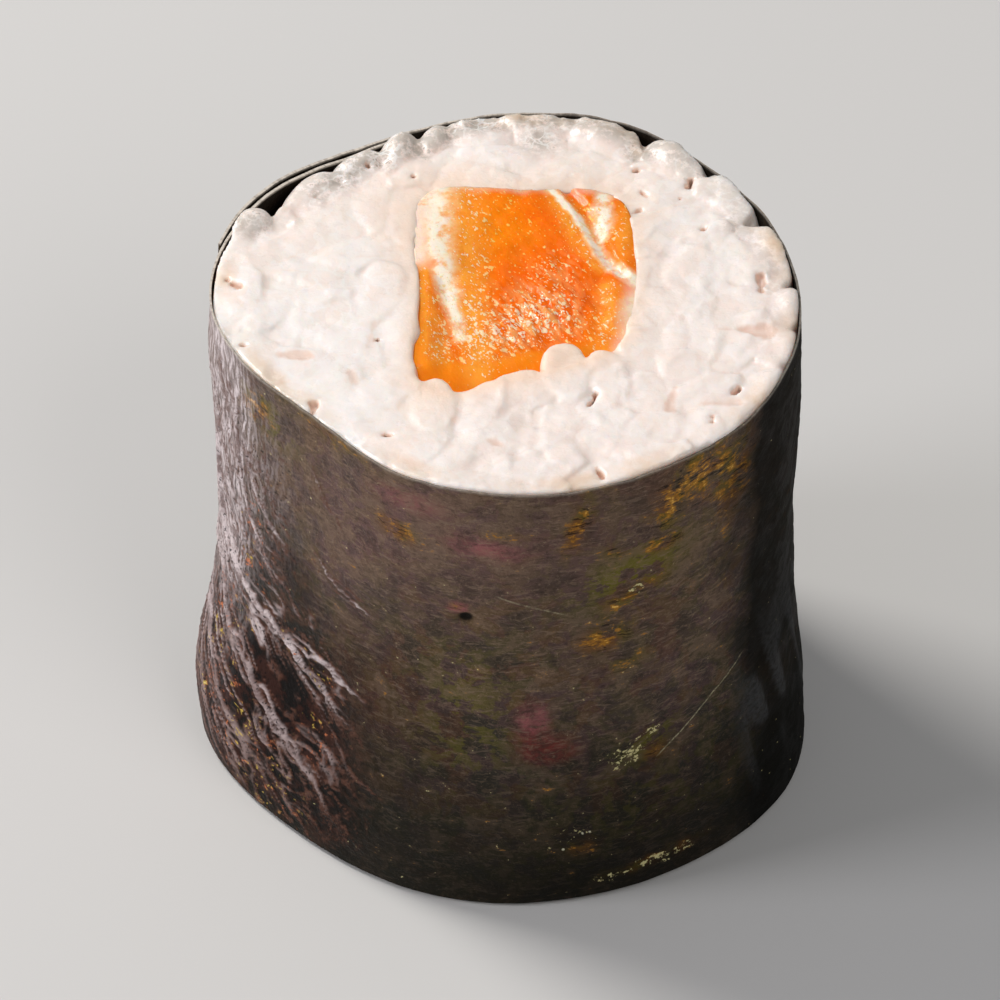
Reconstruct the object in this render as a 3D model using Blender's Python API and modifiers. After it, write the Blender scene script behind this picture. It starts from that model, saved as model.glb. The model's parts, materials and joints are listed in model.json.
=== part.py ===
"""One piece of salmon maki roll (hosomaki), standing on its cut end.

A half sheet of seaweed is wrapped once round a ring of rice, laps over itself
at the back left, and holds a baton of salmon in the middle. All three run
through the piece from one cut to the other.

Metres, +Z up. The origin is the middle of the piece's outline, in the plane of
its lower cut. -Y is the front and +X is to the right.
"""

import math

import bmesh
import bpy

MM = 0.001

# ---------------------------------------------------------------- sizes, in mm
HEIGHT = 28.6            # from the lower cut to the upper one
RADIUS = 15.5            # outer radius of the wrap, away from its lobes
NORI_THICK = 0.35        # moist seaweed
LAP_GAP = 0.15           # between the two layers where the sheet laps
CONTACT_GAP = 0.3        # between the seaweed, the rice and the salmon
NORI_FOOT = 0.05         # the piece stands on its rice, the seaweed ends just above

LAP_START = 112.0        # degrees, where the inner end of the sheet lies
LAP_ANGLE = 50.0         # degrees that the outer end runs on past it
LAP_EASE = 26.0          # degrees in which a layer steps in or out

WAIST_HEIGHT = 13.0      # the wall is slightly drawn in here
WAIST_DEPTH = 0.30
WAIST_SPAN = 7.5
FLARE = 0.42             # and spreads where it stands
FLARE_SPAN = 6.5

# (direction in degrees, size at the top, size at the base, sharpness)
LOBES = (
    (-138.0, -1.75, -0.95, 8.0),    # the flattened side
    (157.0, 0.75, 0.55, 7.0),
    (120.0, -0.45, -0.25, 14.0),
    (74.0, 0.65, 0.35, 11.0),
    (-24.0, 0.25, 0.60, 12.0),
)
FOOT_BULGE = (186.0, 0.72, 5.0, 3.2, 5.2)   # direction, size, sharpness, height, span

RIM_WAVES = ((2, 0.10, 0.6), (5, 0.07, 2.1), (9, 0.05, 4.0))  # waves, size, phase

SALMON_CENTRE = (1.00, 1.45)
SALMON_HALF = (5.80, 8.05, 7.45)  # half width of the baton, its depth to the back and the front
SALMON_SKEW = 0.22              # its front edge runs in by this share towards the right
SALMON_SQUARE = 5.2             # 2 would be an ellipse, more is squarer
SALMON_CORNER = (225.0, 0.07, 12.0)  # the drawn-out corner: direction, share, sharpness
SALMON_RECESS = 0.45            # its upper cut lies this far under the rice's
SALMON_CROWN = 0.30             # and is this much higher in the middle

RICE_EDGE = 0.7                 # the rice is rounded off this much at its rim
GRAIN_LENGTH, GRAIN_WIDTH, GRAIN_LIFT = 6.6, 3.4, 0.80
GRAIN_RINGS = ((13.2, 20), (10.6, 15), (8.2, 11))   # radius, number of grains


# ------------------------------------------------------------------- the shape
def lobe(angle, towards, sharpness):
    """1 in the direction it points, falling smoothly to 0 round about it."""
    return math.exp(sharpness * (math.cos(math.radians(angle - towards)) - 1.0))


def hump(value, middle, span):
    return math.exp(-(((value - middle) / span) ** 2))


def ease(t):
    t = min(1.0, max(0.0, t))
    return t * t * (3.0 - 2.0 * t)


def wrap_radius(angle, z):
    """Outer radius of the wrapped piece in mm, at an angle in degrees and a height."""
    up = ease(z / HEIGHT)
    radius = RADIUS
    radius -= WAIST_DEPTH * hump(z, WAIST_HEIGHT, WAIST_SPAN)
    radius += FLARE * hump(z, 0.0, FLARE_SPAN)
    for towards, top, base, sharpness in LOBES:
        radius += (base + (top - base) * up) * lobe(angle, towards, sharpness)
    towards, size, sharpness, height, span = FOOT_BULGE
    radius += size * lobe(angle, towards, sharpness) * hump(z, height, span)
    return radius


def sheet_radius(turned, z):
    """Radius of the sheet's inner face, where it has turned this far from its inner end."""
    angle = LAP_START + turned
    step = NORI_THICK + LAP_GAP
    inner = wrap_radius(angle, z) - NORI_THICK
    # the inner end is tucked under the outer one, and eases out past the lap
    tucked = 1.0 - ease((turned - LAP_ANGLE) / LAP_EASE)
    return inner - step * tucked


def before_tuck(turned):
    """How far the rice has come in, just before it goes under the tucked end."""
    return (NORI_THICK + LAP_GAP) * ease((turned - 342.0) / 16.0)


def rim_height(angle):
    return HEIGHT + sum(
        size * math.sin(math.radians(waves * angle) + phase)
        for waves, size, phase in RIM_WAVES
    )


def outline_middle():
    """Middle of the whole outline in mm, so that the origin can sit there."""
    xs, ys = [], []
    for i in range(720):
        for k in range(29):
            angle, z = i / 2.0, HEIGHT * k / 28.0
            radius = wrap_radius(angle, z)
            xs.append(radius * math.cos(math.radians(angle)))
            ys.append(radius * math.sin(math.radians(angle)))
    return (max(xs) + min(xs)) / 2.0, (max(ys) + min(ys)) / 2.0


MIDDLE = outline_middle()


def place(radius, angle, z):
    """A point in metres, from the roll's own polar sizes in mm."""
    x = radius * math.cos(math.radians(angle)) - MIDDLE[0]
    y = radius * math.sin(math.radians(angle)) - MIDDLE[1]
    return (x * MM, y * MM, z * MM)


def grains():
    """Where the grains lie on a cut face: (x, y, direction, lift)."""
    found = []
    for ring, (radius, count) in enumerate(GRAIN_RINGS):
        for i in range(count):
            angle = 360.0 * (i + 0.37 * math.sin(2.3 * i + ring)) / count + 40.0 * ring
            reach = radius + 0.7 * math.sin(3.1 * i + 1.7 * ring)
            turn = angle + 90.0 + 55.0 * math.sin(1.9 * i + 0.8 * ring)
            lift = GRAIN_LIFT * (0.65 + 0.35 * math.sin(2.7 * i + ring))
            found.append(
                (
                    reach * math.cos(math.radians(angle)),
                    reach * math.sin(math.radians(angle)),
                    math.radians(turn),
                    lift,
                )
            )
    return found


GRAINS = grains()


def grain_relief(x, y):
    """Height in mm of the grains over the rice's cut face."""
    best = 0.0
    for gx, gy, turn, lift in GRAINS:
        along = (x - gx) * math.cos(turn) + (y - gy) * math.sin(turn)
        across = -(x - gx) * math.sin(turn) + (y - gy) * math.cos(turn)
        inside = (
            1.0
            - (2.0 * along / GRAIN_LENGTH) ** 2
            - (2.0 * across / GRAIN_WIDTH) ** 2
        )
        if inside > 0.0:
            best = max(best, lift * math.sqrt(inside))
    return best


def baton_point(x, y, grown=0.0):
    """Moves a point of a square of half size 1 onto the salmon's section, in mm."""
    reach = max(abs(x), abs(y))
    if reach < 1e-9:
        return SALMON_CENTRE
    direction = math.atan2(y, x)
    c, s = abs(math.cos(direction)), abs(math.sin(direction))
    n = SALMON_SQUARE
    towards, size, sharpness = SALMON_CORNER
    wave = 1.0 + 0.030 * math.sin(3.0 * direction + 0.6) + 0.015 * math.sin(
        5.0 * direction + 2.0
    )
    wave += size * lobe(math.degrees(direction), towards, sharpness)
    edge = (c**n + s**n) ** (-1.0 / n) * wave * reach
    across, along = edge * math.cos(direction), edge * math.sin(direction)
    width, back, front = SALMON_HALF
    depth = back if along > 0.0 else front * (1.0 - SALMON_SKEW * across)
    return (
        SALMON_CENTRE[0] + (width + grown) * across,
        SALMON_CENTRE[1] + (depth + grown) * along,
    )


# ---------------------------------------------------------------- scene set-up
for old in list(bpy.data.objects):
    bpy.data.objects.remove(old, do_unlink=True)

roll = bpy.data.collections.new("salmon_maki")
bpy.context.scene.collection.children.link(roll)
cutters = bpy.data.collections.new("cutters")
bpy.context.scene.collection.children.link(cutters)


def material(name, colour, roughness):
    made = bpy.data.materials.new(name)
    made.use_nodes = True
    shader = made.node_tree.nodes["Principled BSDF"]
    shader.inputs["Base Color"].default_value = (*colour, 1.0)
    shader.inputs["Roughness"].default_value = roughness
    shader.inputs["Metallic"].default_value = 0.0
    return made


def finished(name, bm, collection, look=None):
    """Makes a mesh object of the bmesh, shaded smooth with its sharp edges kept."""
    bmesh.ops.recalc_face_normals(bm, faces=bm.faces)
    mesh = bpy.data.meshes.new(name)
    bm.to_mesh(mesh)
    bm.free()
    mesh.shade_smooth()
    mesh.set_sharp_from_angle(angle=math.radians(48.0))
    made = bpy.data.objects.new(name, mesh)
    collection.objects.link(made)
    if look:
        mesh.materials.append(look)
    return made


# ------------------------------------------------------------------- the nori
# The sheet starts flat, as a grid, and is rolled up; Solidify gives its thickness.
AROUND, UP = 104, 11
sheet = bmesh.new()
bmesh.ops.create_grid(sheet, x_segments=AROUND, y_segments=UP, size=1.0)
for vertex in sheet.verts:
    turned = (vertex.co.x + 1.0) / 2.0 * (360.0 + LAP_ANGLE)
    share = (vertex.co.y + 1.0) / 2.0
    angle = LAP_START + turned
    z = NORI_FOOT + share * (rim_height(angle) - NORI_FOOT)
    vertex.co = place(sheet_radius(turned, z), angle, z)
nori = finished(
    "nori", sheet, roll, material("nori", (0.022, 0.020, 0.013), 0.55)
)
# the rolled sheet's faces have to look outwards before it is thickened that way
first = nori.data.polygons[len(nori.data.polygons) // 2]
if first.normal.x * first.center.x + first.normal.y * first.center.y < 0.0:
    nori.data.flip_normals()
thicken = nori.modifiers.new("thickness", "SOLIDIFY")
thicken.thickness = NORI_THICK * MM
thicken.offset = 1.0
thicken.use_even_offset = True

# ------------------------------------------------------------------- the rice
# A ball's rings are moved onto the rice: across the lower cut, up the side
# against the seaweed, and across the upper cut, where the grains stand out.
ROUND, RINGS = 68, 34
FLAT_RINGS = 13      # rings on each cut; the others run up the side
ball = bmesh.new()
bmesh.ops.create_uvsphere(ball, u_segments=ROUND, v_segments=RINGS, radius=1.0)
for vertex in ball.verts:
    angle = math.degrees(math.atan2(vertex.co.y, vertex.co.x))
    ring = round(math.degrees(math.acos(max(-1.0, min(1.0, vertex.co.z)))) * RINGS / 180.0)
    from_end = min(ring, RINGS - ring)
    upper = ring < RINGS / 2
    # the rice fills the wrap up to the gap, under the tucked end of the sheet too
    turned = (angle - LAP_START) % 360.0
    if from_end <= FLAT_RINGS:
        share = from_end / FLAT_RINGS
        z = HEIGHT if upper else 0.0
        limit = min(sheet_radius(turned, z), sheet_radius(turned + 360.0, z))
        limit -= before_tuck(turned)
        radius = share * (limit - CONTACT_GAP - (0.15 if upper else 0.1))
        x = radius * math.cos(math.radians(angle))
        y = radius * math.sin(math.radians(angle))
        if upper:
            rounded = RICE_EDGE * (max(0.0, share - 0.84) / 0.16) ** 2
            z = HEIGHT - 0.65 - rounded * 0.4 + grain_relief(x, y) * (1.0 - 0.5 * share**8)
    else:
        share = (ring - FLAT_RINGS) / (RINGS - 2 * FLAT_RINGS)
        z = (HEIGHT - 1.2) * (1.0 - share) + 0.35 * share
        limit = min(sheet_radius(turned, z), sheet_radius(turned + 360.0, z))
        limit -= before_tuck(turned)
        radius = limit - CONTACT_GAP
    vertex.co = place(radius, angle, z)
rice = finished(
    "rice", ball, roll, material("rice", (0.83, 0.79, 0.73), 0.45)
)

# ----------------------------------------------------------------- the salmon
def baton(name, collection, grown, low, high, crown, look=None):
    cube = bmesh.new()
    bmesh.ops.create_cube(cube, size=2.0)
    bmesh.ops.subdivide_edges(
        cube, edges=cube.edges[:], cuts=9, use_grid_fill=True
    )
    for vertex in cube.verts:
        x, y, t = vertex.co.x, vertex.co.y, vertex.co.z
        px, py = baton_point(x, y, grown)
        z = low + (high - low) * (t + 1.0) / 2.0
        if crown and t > 0.999:
            reach = max(abs(x), abs(y))
            z += crown * (1.0 - reach**2) + 0.5 * crown * (
                math.sin(1.3 * px + 0.4 * py) * (1.0 - reach**4)
            )
            z -= 0.25 * max(0.0, reach - 0.8) / 0.2
        vertex.co = (
            (px - MIDDLE[0]) * MM,
            (py - MIDDLE[1]) * MM,
            z * MM,
        )
    return finished(name, cube, collection, look)


salmon = baton(
    "salmon",
    roll,
    0.0,
    0.0,
    HEIGHT - SALMON_RECESS,
    SALMON_CROWN,
    material("salmon", (0.90, 0.19, 0.015), 0.32),
)
channel = baton("channel", cutters, CONTACT_GAP + 0.05, -3.0, HEIGHT + 3.0, 0.0)
channel.hide_render = True
channel.display_type = "WIRE"

# the baton's way through the rice
cut = rice.modifiers.new("salmon_channel", "BOOLEAN")
cut.operation = "DIFFERENCE"
cut.solver = "EXACT"
cut.object = channel
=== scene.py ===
"""Salmon maki roll: the finish of one piece, round its solids.

The sheet of seaweed, the rice of the two cuts and the baton of salmon are made
as fine meshes where the plain solids are. Sizes are in mm in the roll's own
frame, whose axis is the middle of the wrap, and `to_world` turns them to metres.
"""

import json
import math

import bpy
import numpy as np
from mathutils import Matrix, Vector

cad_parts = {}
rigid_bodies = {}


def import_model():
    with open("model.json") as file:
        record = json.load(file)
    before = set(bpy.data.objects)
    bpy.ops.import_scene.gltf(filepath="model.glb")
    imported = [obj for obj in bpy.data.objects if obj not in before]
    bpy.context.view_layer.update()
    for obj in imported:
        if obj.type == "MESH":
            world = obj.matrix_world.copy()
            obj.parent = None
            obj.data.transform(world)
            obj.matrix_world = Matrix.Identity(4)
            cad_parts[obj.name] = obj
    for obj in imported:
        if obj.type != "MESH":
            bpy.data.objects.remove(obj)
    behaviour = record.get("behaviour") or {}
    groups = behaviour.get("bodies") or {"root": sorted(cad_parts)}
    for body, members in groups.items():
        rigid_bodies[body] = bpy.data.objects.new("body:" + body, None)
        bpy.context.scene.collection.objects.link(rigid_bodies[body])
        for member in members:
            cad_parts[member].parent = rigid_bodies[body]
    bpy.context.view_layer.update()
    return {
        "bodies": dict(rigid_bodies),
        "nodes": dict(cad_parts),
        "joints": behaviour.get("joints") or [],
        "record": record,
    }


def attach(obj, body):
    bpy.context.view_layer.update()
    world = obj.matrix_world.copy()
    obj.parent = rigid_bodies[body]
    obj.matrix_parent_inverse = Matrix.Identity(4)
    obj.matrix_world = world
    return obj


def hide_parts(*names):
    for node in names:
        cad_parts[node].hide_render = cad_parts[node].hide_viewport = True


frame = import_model()

MM = 0.001

# ------------------------------------------------------- the solids' own sizes
HEIGHT = 28.6
RADIUS = 15.5
NORI_THICK = 0.35
LAP_GAP = 0.15
NORI_FOOT = 0.05
LAP_START = 112.0
LAP_ANGLE = 50.0
LAP_EASE = 26.0
WAIST_HEIGHT = 13.0
WAIST_DEPTH = 0.30
WAIST_SPAN = 7.5
FLARE = 0.42
FLARE_SPAN = 6.5
LOBES = (
    (-138.0, -1.75, -0.95, 8.0),
    (157.0, 0.75, 0.55, 7.0),
    (120.0, -0.45, -0.25, 14.0),
    (74.0, 0.65, 0.35, 11.0),
    (-24.0, 0.25, 0.60, 12.0),
)
FOOT_BULGE = (186.0, 0.72, 5.0, 3.2, 5.2)
RIM_WAVES = ((2, 0.10, 0.6), (5, 0.07, 2.1), (9, 0.05, 4.0))
SALMON_CENTRE = (1.00, 1.45)
SALMON_HALF = (5.80, 8.05, 7.45)
SALMON_SKEW = 0.22
SALMON_SQUARE = 5.2
SALMON_CORNER = (225.0, 0.07, 12.0)
SALMON_RECESS = 0.45

SHEET_END = 360.0 + LAP_ANGLE


# ---------------------------------------------------------------- small maths
def ease(t):
    t = np.clip(t, 0.0, 1.0)
    return t * t * (3.0 - 2.0 * t)


def lobe(angle, towards, sharpness):
    return np.exp(sharpness * (np.cos(np.radians(angle - towards)) - 1.0))


def hump(value, middle, span):
    return np.exp(-(((value - middle) / span) ** 2))


def wrap_radius(angle, z):
    up = ease(z / HEIGHT)
    radius = RADIUS - WAIST_DEPTH * hump(z, WAIST_HEIGHT, WAIST_SPAN)
    radius = radius + FLARE * hump(z, 0.0, FLARE_SPAN)
    for towards, top, base, sharpness in LOBES:
        radius = radius + (base + (top - base) * up) * lobe(angle, towards, sharpness)
    towards, size, sharpness, height, span = FOOT_BULGE
    return radius + size * lobe(angle, towards, sharpness) * hump(z, height, span)


def rim_height(angle):
    return HEIGHT + sum(
        size * np.sin(np.radians(waves * angle) + phase)
        for waves, size, phase in RIM_WAVES
    )


def tuck(turned):
    """How far under the outermost radius the sheet runs, near its inner end."""
    return (NORI_THICK + LAP_GAP) * (1.0 - ease((turned - LAP_ANGLE) / LAP_EASE))


def rice_limit(angle, z):
    """Inner radius of the wrap, which the rice fills."""
    turned = (angle - LAP_START) % 360.0
    under = np.maximum(tuck(turned), (NORI_THICK + LAP_GAP) * ease((turned - 342.0) / 16.0))
    return wrap_radius(angle, z) - NORI_THICK - under


def outline_middle():
    angle = np.arange(720)[:, None] / 2.0
    z = HEIGHT * np.arange(29)[None, :] / 28.0
    radius = wrap_radius(angle, z)
    x, y = radius * np.cos(np.radians(angle)), radius * np.sin(np.radians(angle))
    return (x.max() + x.min()) / 2.0, (y.max() + y.min()) / 2.0


MIDDLE = outline_middle()


def to_world(points):
    moved = np.array(points, dtype=float)
    moved[:, 0] -= MIDDLE[0]
    moved[:, 1] -= MIDDLE[1]
    return moved * MM


# ------------------------------------------------------------ repeatable noise
def lattice(ix, iy, iz, seed):
    """A number from -1 to 1 for each whole-number point, always the same."""
    h = (
        ix.astype(np.uint32) * np.uint32(374761393)
        + iy.astype(np.uint32) * np.uint32(668265263)
        + iz.astype(np.uint32) * np.uint32(2147483647)
        + np.uint32(seed * 144665 + 977)
    )
    h = (h ^ (h >> np.uint32(13))) * np.uint32(1274126177)
    h = (h ^ (h >> np.uint32(16))) * np.uint32(2246822519)
    h = h ^ (h >> np.uint32(15))
    return h.astype(np.float64) / 2147483647.5 - 1.0


def noise(x, y, z=0.0, seed=0):
    """Smooth noise from about -1 to 1, one lump to a unit."""
    x, y, z = np.broadcast_arrays(
        np.asarray(x, float), np.asarray(y, float), np.asarray(z, float)
    )
    fx, fy, fz = np.floor(x), np.floor(y), np.floor(z)
    ix, iy, iz = (f.astype(np.int64) for f in (fx, fy, fz))
    tx, ty, tz = x - fx, y - fy, z - fz
    sx, sy, sz = (t * t * t * (t * (t * 6.0 - 15.0) + 10.0) for t in (tx, ty, tz))
    total = 0.0
    for dx in (0, 1):
        wx = sx if dx else 1.0 - sx
        for dy in (0, 1):
            wy = sy if dy else 1.0 - sy
            for dz in (0, 1):
                wz = sz if dz else 1.0 - sz
                total = total + wx * wy * wz * lattice(ix + dx, iy + dy, iz + dz, seed)
    return total


def fractal(x, y, z=0.0, seed=0, octaves=4, fall=0.5):
    total, size, scale, most = 0.0, 1.0, 1.0, 0.0
    for i in range(octaves):
        total = total + size * noise(
            np.asarray(x) * scale + 7.3 * i,
            np.asarray(y) * scale - 3.1 * i,
            np.asarray(z) * scale,
            seed + i,
        )
        most += size
        size *= fall
        scale *= 2.03
    return total / most


def soft_min(a, b, k):
    """The lesser of two, with a fillet about k mm wide where they meet."""
    h = np.clip(0.5 + 0.5 * (b - a) / k, 0.0, 1.0)
    return b + (a - b) * h - k * h * (1.0 - h)


def soft_max(a, b, k):
    return -soft_min(-a, -b, k)


# -------------------------------------------------------------- mesh utilities
def new_piece(name, points, quads, smooth=True):
    mesh = bpy.data.meshes.new(name)
    quads = np.asarray(quads, dtype=np.int32)
    mesh.vertices.add(len(points))
    mesh.vertices.foreach_set("co", np.asarray(points, np.float32).ravel())
    mesh.loops.add(quads.size)
    mesh.loops.foreach_set("vertex_index", quads.ravel())
    mesh.polygons.add(len(quads))
    mesh.polygons.foreach_set(
        "loop_start", np.arange(len(quads), dtype=np.int32) * quads.shape[1]
    )
    mesh.update(calc_edges=True)
    mesh.validate()
    if smooth:
        mesh.shade_smooth()
    piece = bpy.data.objects.new(name, mesh)
    bpy.context.scene.collection.objects.link(piece)
    return piece


def set_numbers(piece, name, values):
    """A named number at each vertex, which the materials read."""
    made = piece.data.attributes.new(name, "FLOAT", "POINT")
    made.data.foreach_set("value", np.asarray(values, np.float32).ravel())


def set_vectors(piece, name, values):
    made = piece.data.attributes.new(name, "FLOAT_VECTOR", "POINT")
    made.data.foreach_set("vector", np.asarray(values, np.float32).ravel())


# =================================================================== the nori
VISIBLE_THICK = 0.18      # the moist sheet, which the solid rounds up
UNROLL = 15.6             # mm along the sheet for each radian turned

# the clearest creases of the left side: height and half width in mm, and where they
# run, as (degrees round the roll, mm up)
STRANDS = (
    (0.22, 0.26, ((186.5, 25.5), (186.0, 20.0), (187.0, 15.4), (193.2, 13.5), (211.2, 12.2), (219.2, 11.4), (235.5, 8.7), (243.0, 8.1))),
    (0.15, 0.19, ((211.2, 12.2), (218.0, 12.4), (235.0, 11.4), (243.0, 11.3))),
    (0.11, 0.15, ((215.8, 11.0), (220.5, 10.4), (227.0, 8.9))),
    (0.20, 0.22, ((181.5, 15.5), (188.2, 11.7), (192.2, 9.5), (203.2, 8.3), (220.0, 5.3), (229.0, 3.8), (235.8, 0.9))),
    (0.15, 0.20, ((176.5, 12.0), (183.5, 7.4), (192.8, 5.5), (202.5, 3.7), (221.0, 2.1))),
    (0.12, 0.17, ((177.0, 5.2), (188.5, 3.4), (198.0, 1.4))),
    (0.11, 0.16, ((199.0, 23.6), (201.0, 21.8), (206.0, 19.6), (212.8, 18.1), (217.5, 17.8))),
    (0.06, 0.14, ((221.0, 25.6), (227.5, 23.2), (234.0, 21.2))),
    (0.10, 0.14, ((221.5, 19.7), (228.2, 18.3), (237.2, 17.9), (244.0, 17.3))),
    (0.12, 0.18, ((194.5, 26.5), (196.5, 22.6), (199.5, 18.9), (208.8, 15.4), (216.5, 13.8))),
)


def sheet_columns():
    """Where the sheet's columns stand, in degrees turned.

    They are closest in the creased part, and far apart where the lap hides them.
    """
    turned = np.linspace(0.0, SHEET_END, 4101)
    there = (turned + LAP_START) % 360.0
    creased = ease((there - 171.0) / 8.0) * (1.0 - ease((there - 246.0) / 10.0))
    front = ease((there - 238.0) / 10.0) * (1.0 - ease((there - 345.0) / 14.0))
    gap = np.maximum(0.42 - 0.19 * front - 0.295 * creased, 0.125)
    gap = np.where(turned < LAP_ANGLE - 6.0, 0.60, gap)
    need = np.concatenate([[0.0], np.cumsum((1.0 / gap[1:] + 1.0 / gap[:-1]) / 2.0)])
    count = int(need[-1] * math.radians(0.1) * UNROLL)
    return np.interp(np.linspace(0.0, need[-1], count + 1), need, turned)


def line_distance(x, y, corners):
    """(distance in mm to a bent line, share of the way along it)."""
    best = np.full(np.shape(x), 1e9)
    along = np.zeros(np.shape(x))
    corners = np.asarray(corners, float)
    lengths = np.linalg.norm(np.diff(corners, axis=0), axis=1)
    total, before = lengths.sum(), 0.0
    for (ax, ay), (bx, by), length in zip(corners[:-1], corners[1:], lengths):
        t = np.clip(((x - ax) * (bx - ax) + (y - ay) * (by - ay)) / length**2, 0.0, 1.0)
        d = np.hypot(x - ax - t * (bx - ax), y - ay - t * (by - ay))
        nearer = d < best
        best = np.where(nearer, d, best)
        along = np.where(nearer, (before + t * length) / total, along)
        before += length
    return best, along


def rounded(corners, rounds=3):
    """The bent line with its corners cut off, again and again."""
    corners = np.asarray(corners, float)
    for _ in range(rounds):
        a, b = corners[:-1], corners[1:]
        inner = np.stack([0.75 * a + 0.25 * b, 0.25 * a + 0.75 * b], 1).reshape(-1, 2)
        corners = np.concatenate([corners[:1], inner, corners[-1:]])
    return corners


def patch(angle, z, centre, height, wide, tall, turn=0.0):
    """1 in the middle of a soft patch of the wall, falling to 0 round it."""
    x = np.radians((angle - centre + 180.0) % 360.0 - 180.0) * UNROLL
    y = z - height
    t = math.radians(turn)
    u, v = x * math.cos(t) + y * math.sin(t), -x * math.sin(t) + y * math.cos(t)
    return np.exp(-((u / wide) ** 2) - (v / tall) ** 2)


def unrolled(corners, rounds=2):
    return rounded([(math.radians(a) * UNROLL, z) for a, z in corners], rounds)


class Creases:
    """Thin branching ridges on the left side, drawn on a fine raster of the wall."""

    STEP = 0.05

    def __init__(self):
        self.low = (math.radians(164.0) * UNROLL, -0.4)
        high = (math.radians(262.0) * UNROLL, 29.6)
        shape = [int((high[i] - self.low[i]) / self.STEP) + 1 for i in (0, 1)]
        self.relief, self.mark = np.zeros(shape), np.zeros(shape)
        lines = [unrolled(corners) for _, _, corners in STRANDS]
        self.places = np.concatenate([(line[1:] + line[:-1]) / 2.0 for line in lines])
        runs = np.concatenate([np.diff(line, axis=0) for line in lines])
        self.lengths = np.linalg.norm(runs, axis=1)
        self.ways = runs / self.lengths[:, None]
        rng = np.random.default_rng(19)
        for (high, half, _), line in zip(STRANDS, lines):
            # each is a few threads that part and meet again
            for twist, share in enumerate((1.0, 0.75, 0.60)):
                self.strand(self.resampled(line, twist), high * share, half * 0.60, rng)
        self.fine_ones(rng)
        self.net()

    def way(self, spots):
        """Which way the creases run at each place: down, and round to the front."""
        d2 = ((spots[:, None, :] - self.places) ** 2).sum(-1)
        way = ((self.lengths / (d2 + 0.6) ** 1.6)[..., None] * self.ways).sum(1)
        s, z = spots.T
        turn = 0.50 * noise(s / 2.1, z / 2.1, 3.0, seed=43) + 0.28 * noise(s / 0.9, z / 0.9, 5.0, seed=44)
        c, t = np.cos(turn), np.sin(turn)
        way = np.stack([way[:, 0] * c - way[:, 1] * t, way[:, 0] * t + way[:, 1] * c], -1)
        return way / np.linalg.norm(way, axis=1)[:, None]

    def resampled(self, line, twist=0):
        """Points a step apart along a line, which wanders from side to side."""
        lengths = np.concatenate([[0.0], np.cumsum(np.linalg.norm(np.diff(line, axis=0), axis=1))])
        at = np.arange(0.0, lengths[-1], self.STEP)
        s, z = np.interp(at, lengths, line[:, 0]), np.interp(at, lengths, line[:, 1])
        wide = 0.20 if twist == 0 else 0.46
        return np.stack([
            s + wide * noise(s / 1.5, z / 1.5, 1.0 + 9.0 * twist, seed=41) + 0.11 * noise(s / 0.45, z / 0.45, 2.0 + 5.0 * twist, seed=42),
            z + wide * noise(s / 1.5, z / 1.5, 6.0 + 9.0 * twist, seed=45) + 0.11 * noise(s / 0.45, z / 0.45, 8.0 + 5.0 * twist, seed=46),
        ], -1)

    def strand(self, line, high, half, rng):
        count = len(line)
        share = np.linspace(0.0, 1.0, count)
        ends = ease(share / 0.22) * ease((1.0 - share) / 0.32)
        beat = 1.0 + 0.30 * noise(share * count * self.STEP / 1.3, 0.0, rng.random() * 90.0, seed=52)
        wide = half * (0.62 + 0.38 * ends) * (1.0 + 0.22 * noise(share * count * self.STEP / 0.9, 5.0, rng.random() * 90.0, seed=53))
        tall = high * ends * beat
        for (s, z), h, w in zip(line, tall, wide):
            i, j = (s - self.low[0]) / self.STEP, (z - self.low[1]) / self.STEP
            reach = int(2.1 * w / self.STEP) + 1
            i0, i1 = max(0, int(i) - reach), min(self.relief.shape[0], int(i) + reach + 2)
            j0, j1 = max(0, int(j) - reach), min(self.relief.shape[1], int(j) + reach + 2)
            if i1 <= i0 or j1 <= j0:
                continue
            di = (np.arange(i0, i1) - i)[:, None] * self.STEP
            dj = (np.arange(j0, j1) - j)[None, :] * self.STEP
            soft = np.exp(-((di * di + dj * dj) / (w * w)) ** 0.9)
            here = self.relief[i0:i1, j0:j1]
            np.maximum(here, h * soft, out=here)
            here = self.mark[i0:i1, j0:j1]
            np.maximum(here, min(1.0, h / 0.115) * soft, out=here)

    def fine_ones(self, rng):
        spots, sizes = [], []
        while len(spots) < 120:
            angle, z = 172.0 + 72.0 * rng.random(), 0.4 + 27.6 * rng.random()
            there = self.amount(np.array(angle), np.array(z))
            side = 1.0 - ease((angle - 188.0) / 30.0)
            crowd = 0.30 + 0.70 * side
            # a bare, smoother place between the main branches
            bare = float(patch(angle, z, 214.0, 8.4, 3.4, 1.4, -18.0))
            crowd *= 1.0 - 0.9 * min(1.0, 1.4 * bare)
            crowd *= 0.55 + 0.45 * float(ease((21.0 - z) / 6.0))
            if rng.random() < float(there) * crowd:
                spots.append((math.radians(angle) * UNROLL, z))
                sizes.append((side, z))
        spots = np.array(spots)
        steps = 120
        paths = [spots]
        for sign in (-1.0, 1.0):
            at, part = spots, []
            for _ in range(steps):
                at = at + sign * self.STEP * self.way(at)
                part.append(at)
            paths = part[::-1] + paths if sign < 0.0 else paths + part
        paths = np.stack(paths, 1)
        for path, (side, z) in zip(paths, sizes):
            back, on = rng.integers(22, 120, 2)
            line = path[steps - back:steps + on]
            angle = np.degrees(line[:, 0] / UNROLL)
            keep = float(self.amount(angle, line[:, 1]).mean())
            upper = float(ease((z - 15.0) / 5.0))
            high = rng.uniform(0.045, 0.125) * (0.75 + 0.45 * side) * (1.0 - 0.35 * upper) * keep
            line = line + 0.09 * np.stack([noise(line[:, 0] / 0.5, line[:, 1] / 0.5, k, seed=48) for k in (2.0, 7.0)], -1)
            self.strand(line, high, rng.uniform(0.075, 0.140), rng)

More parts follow.
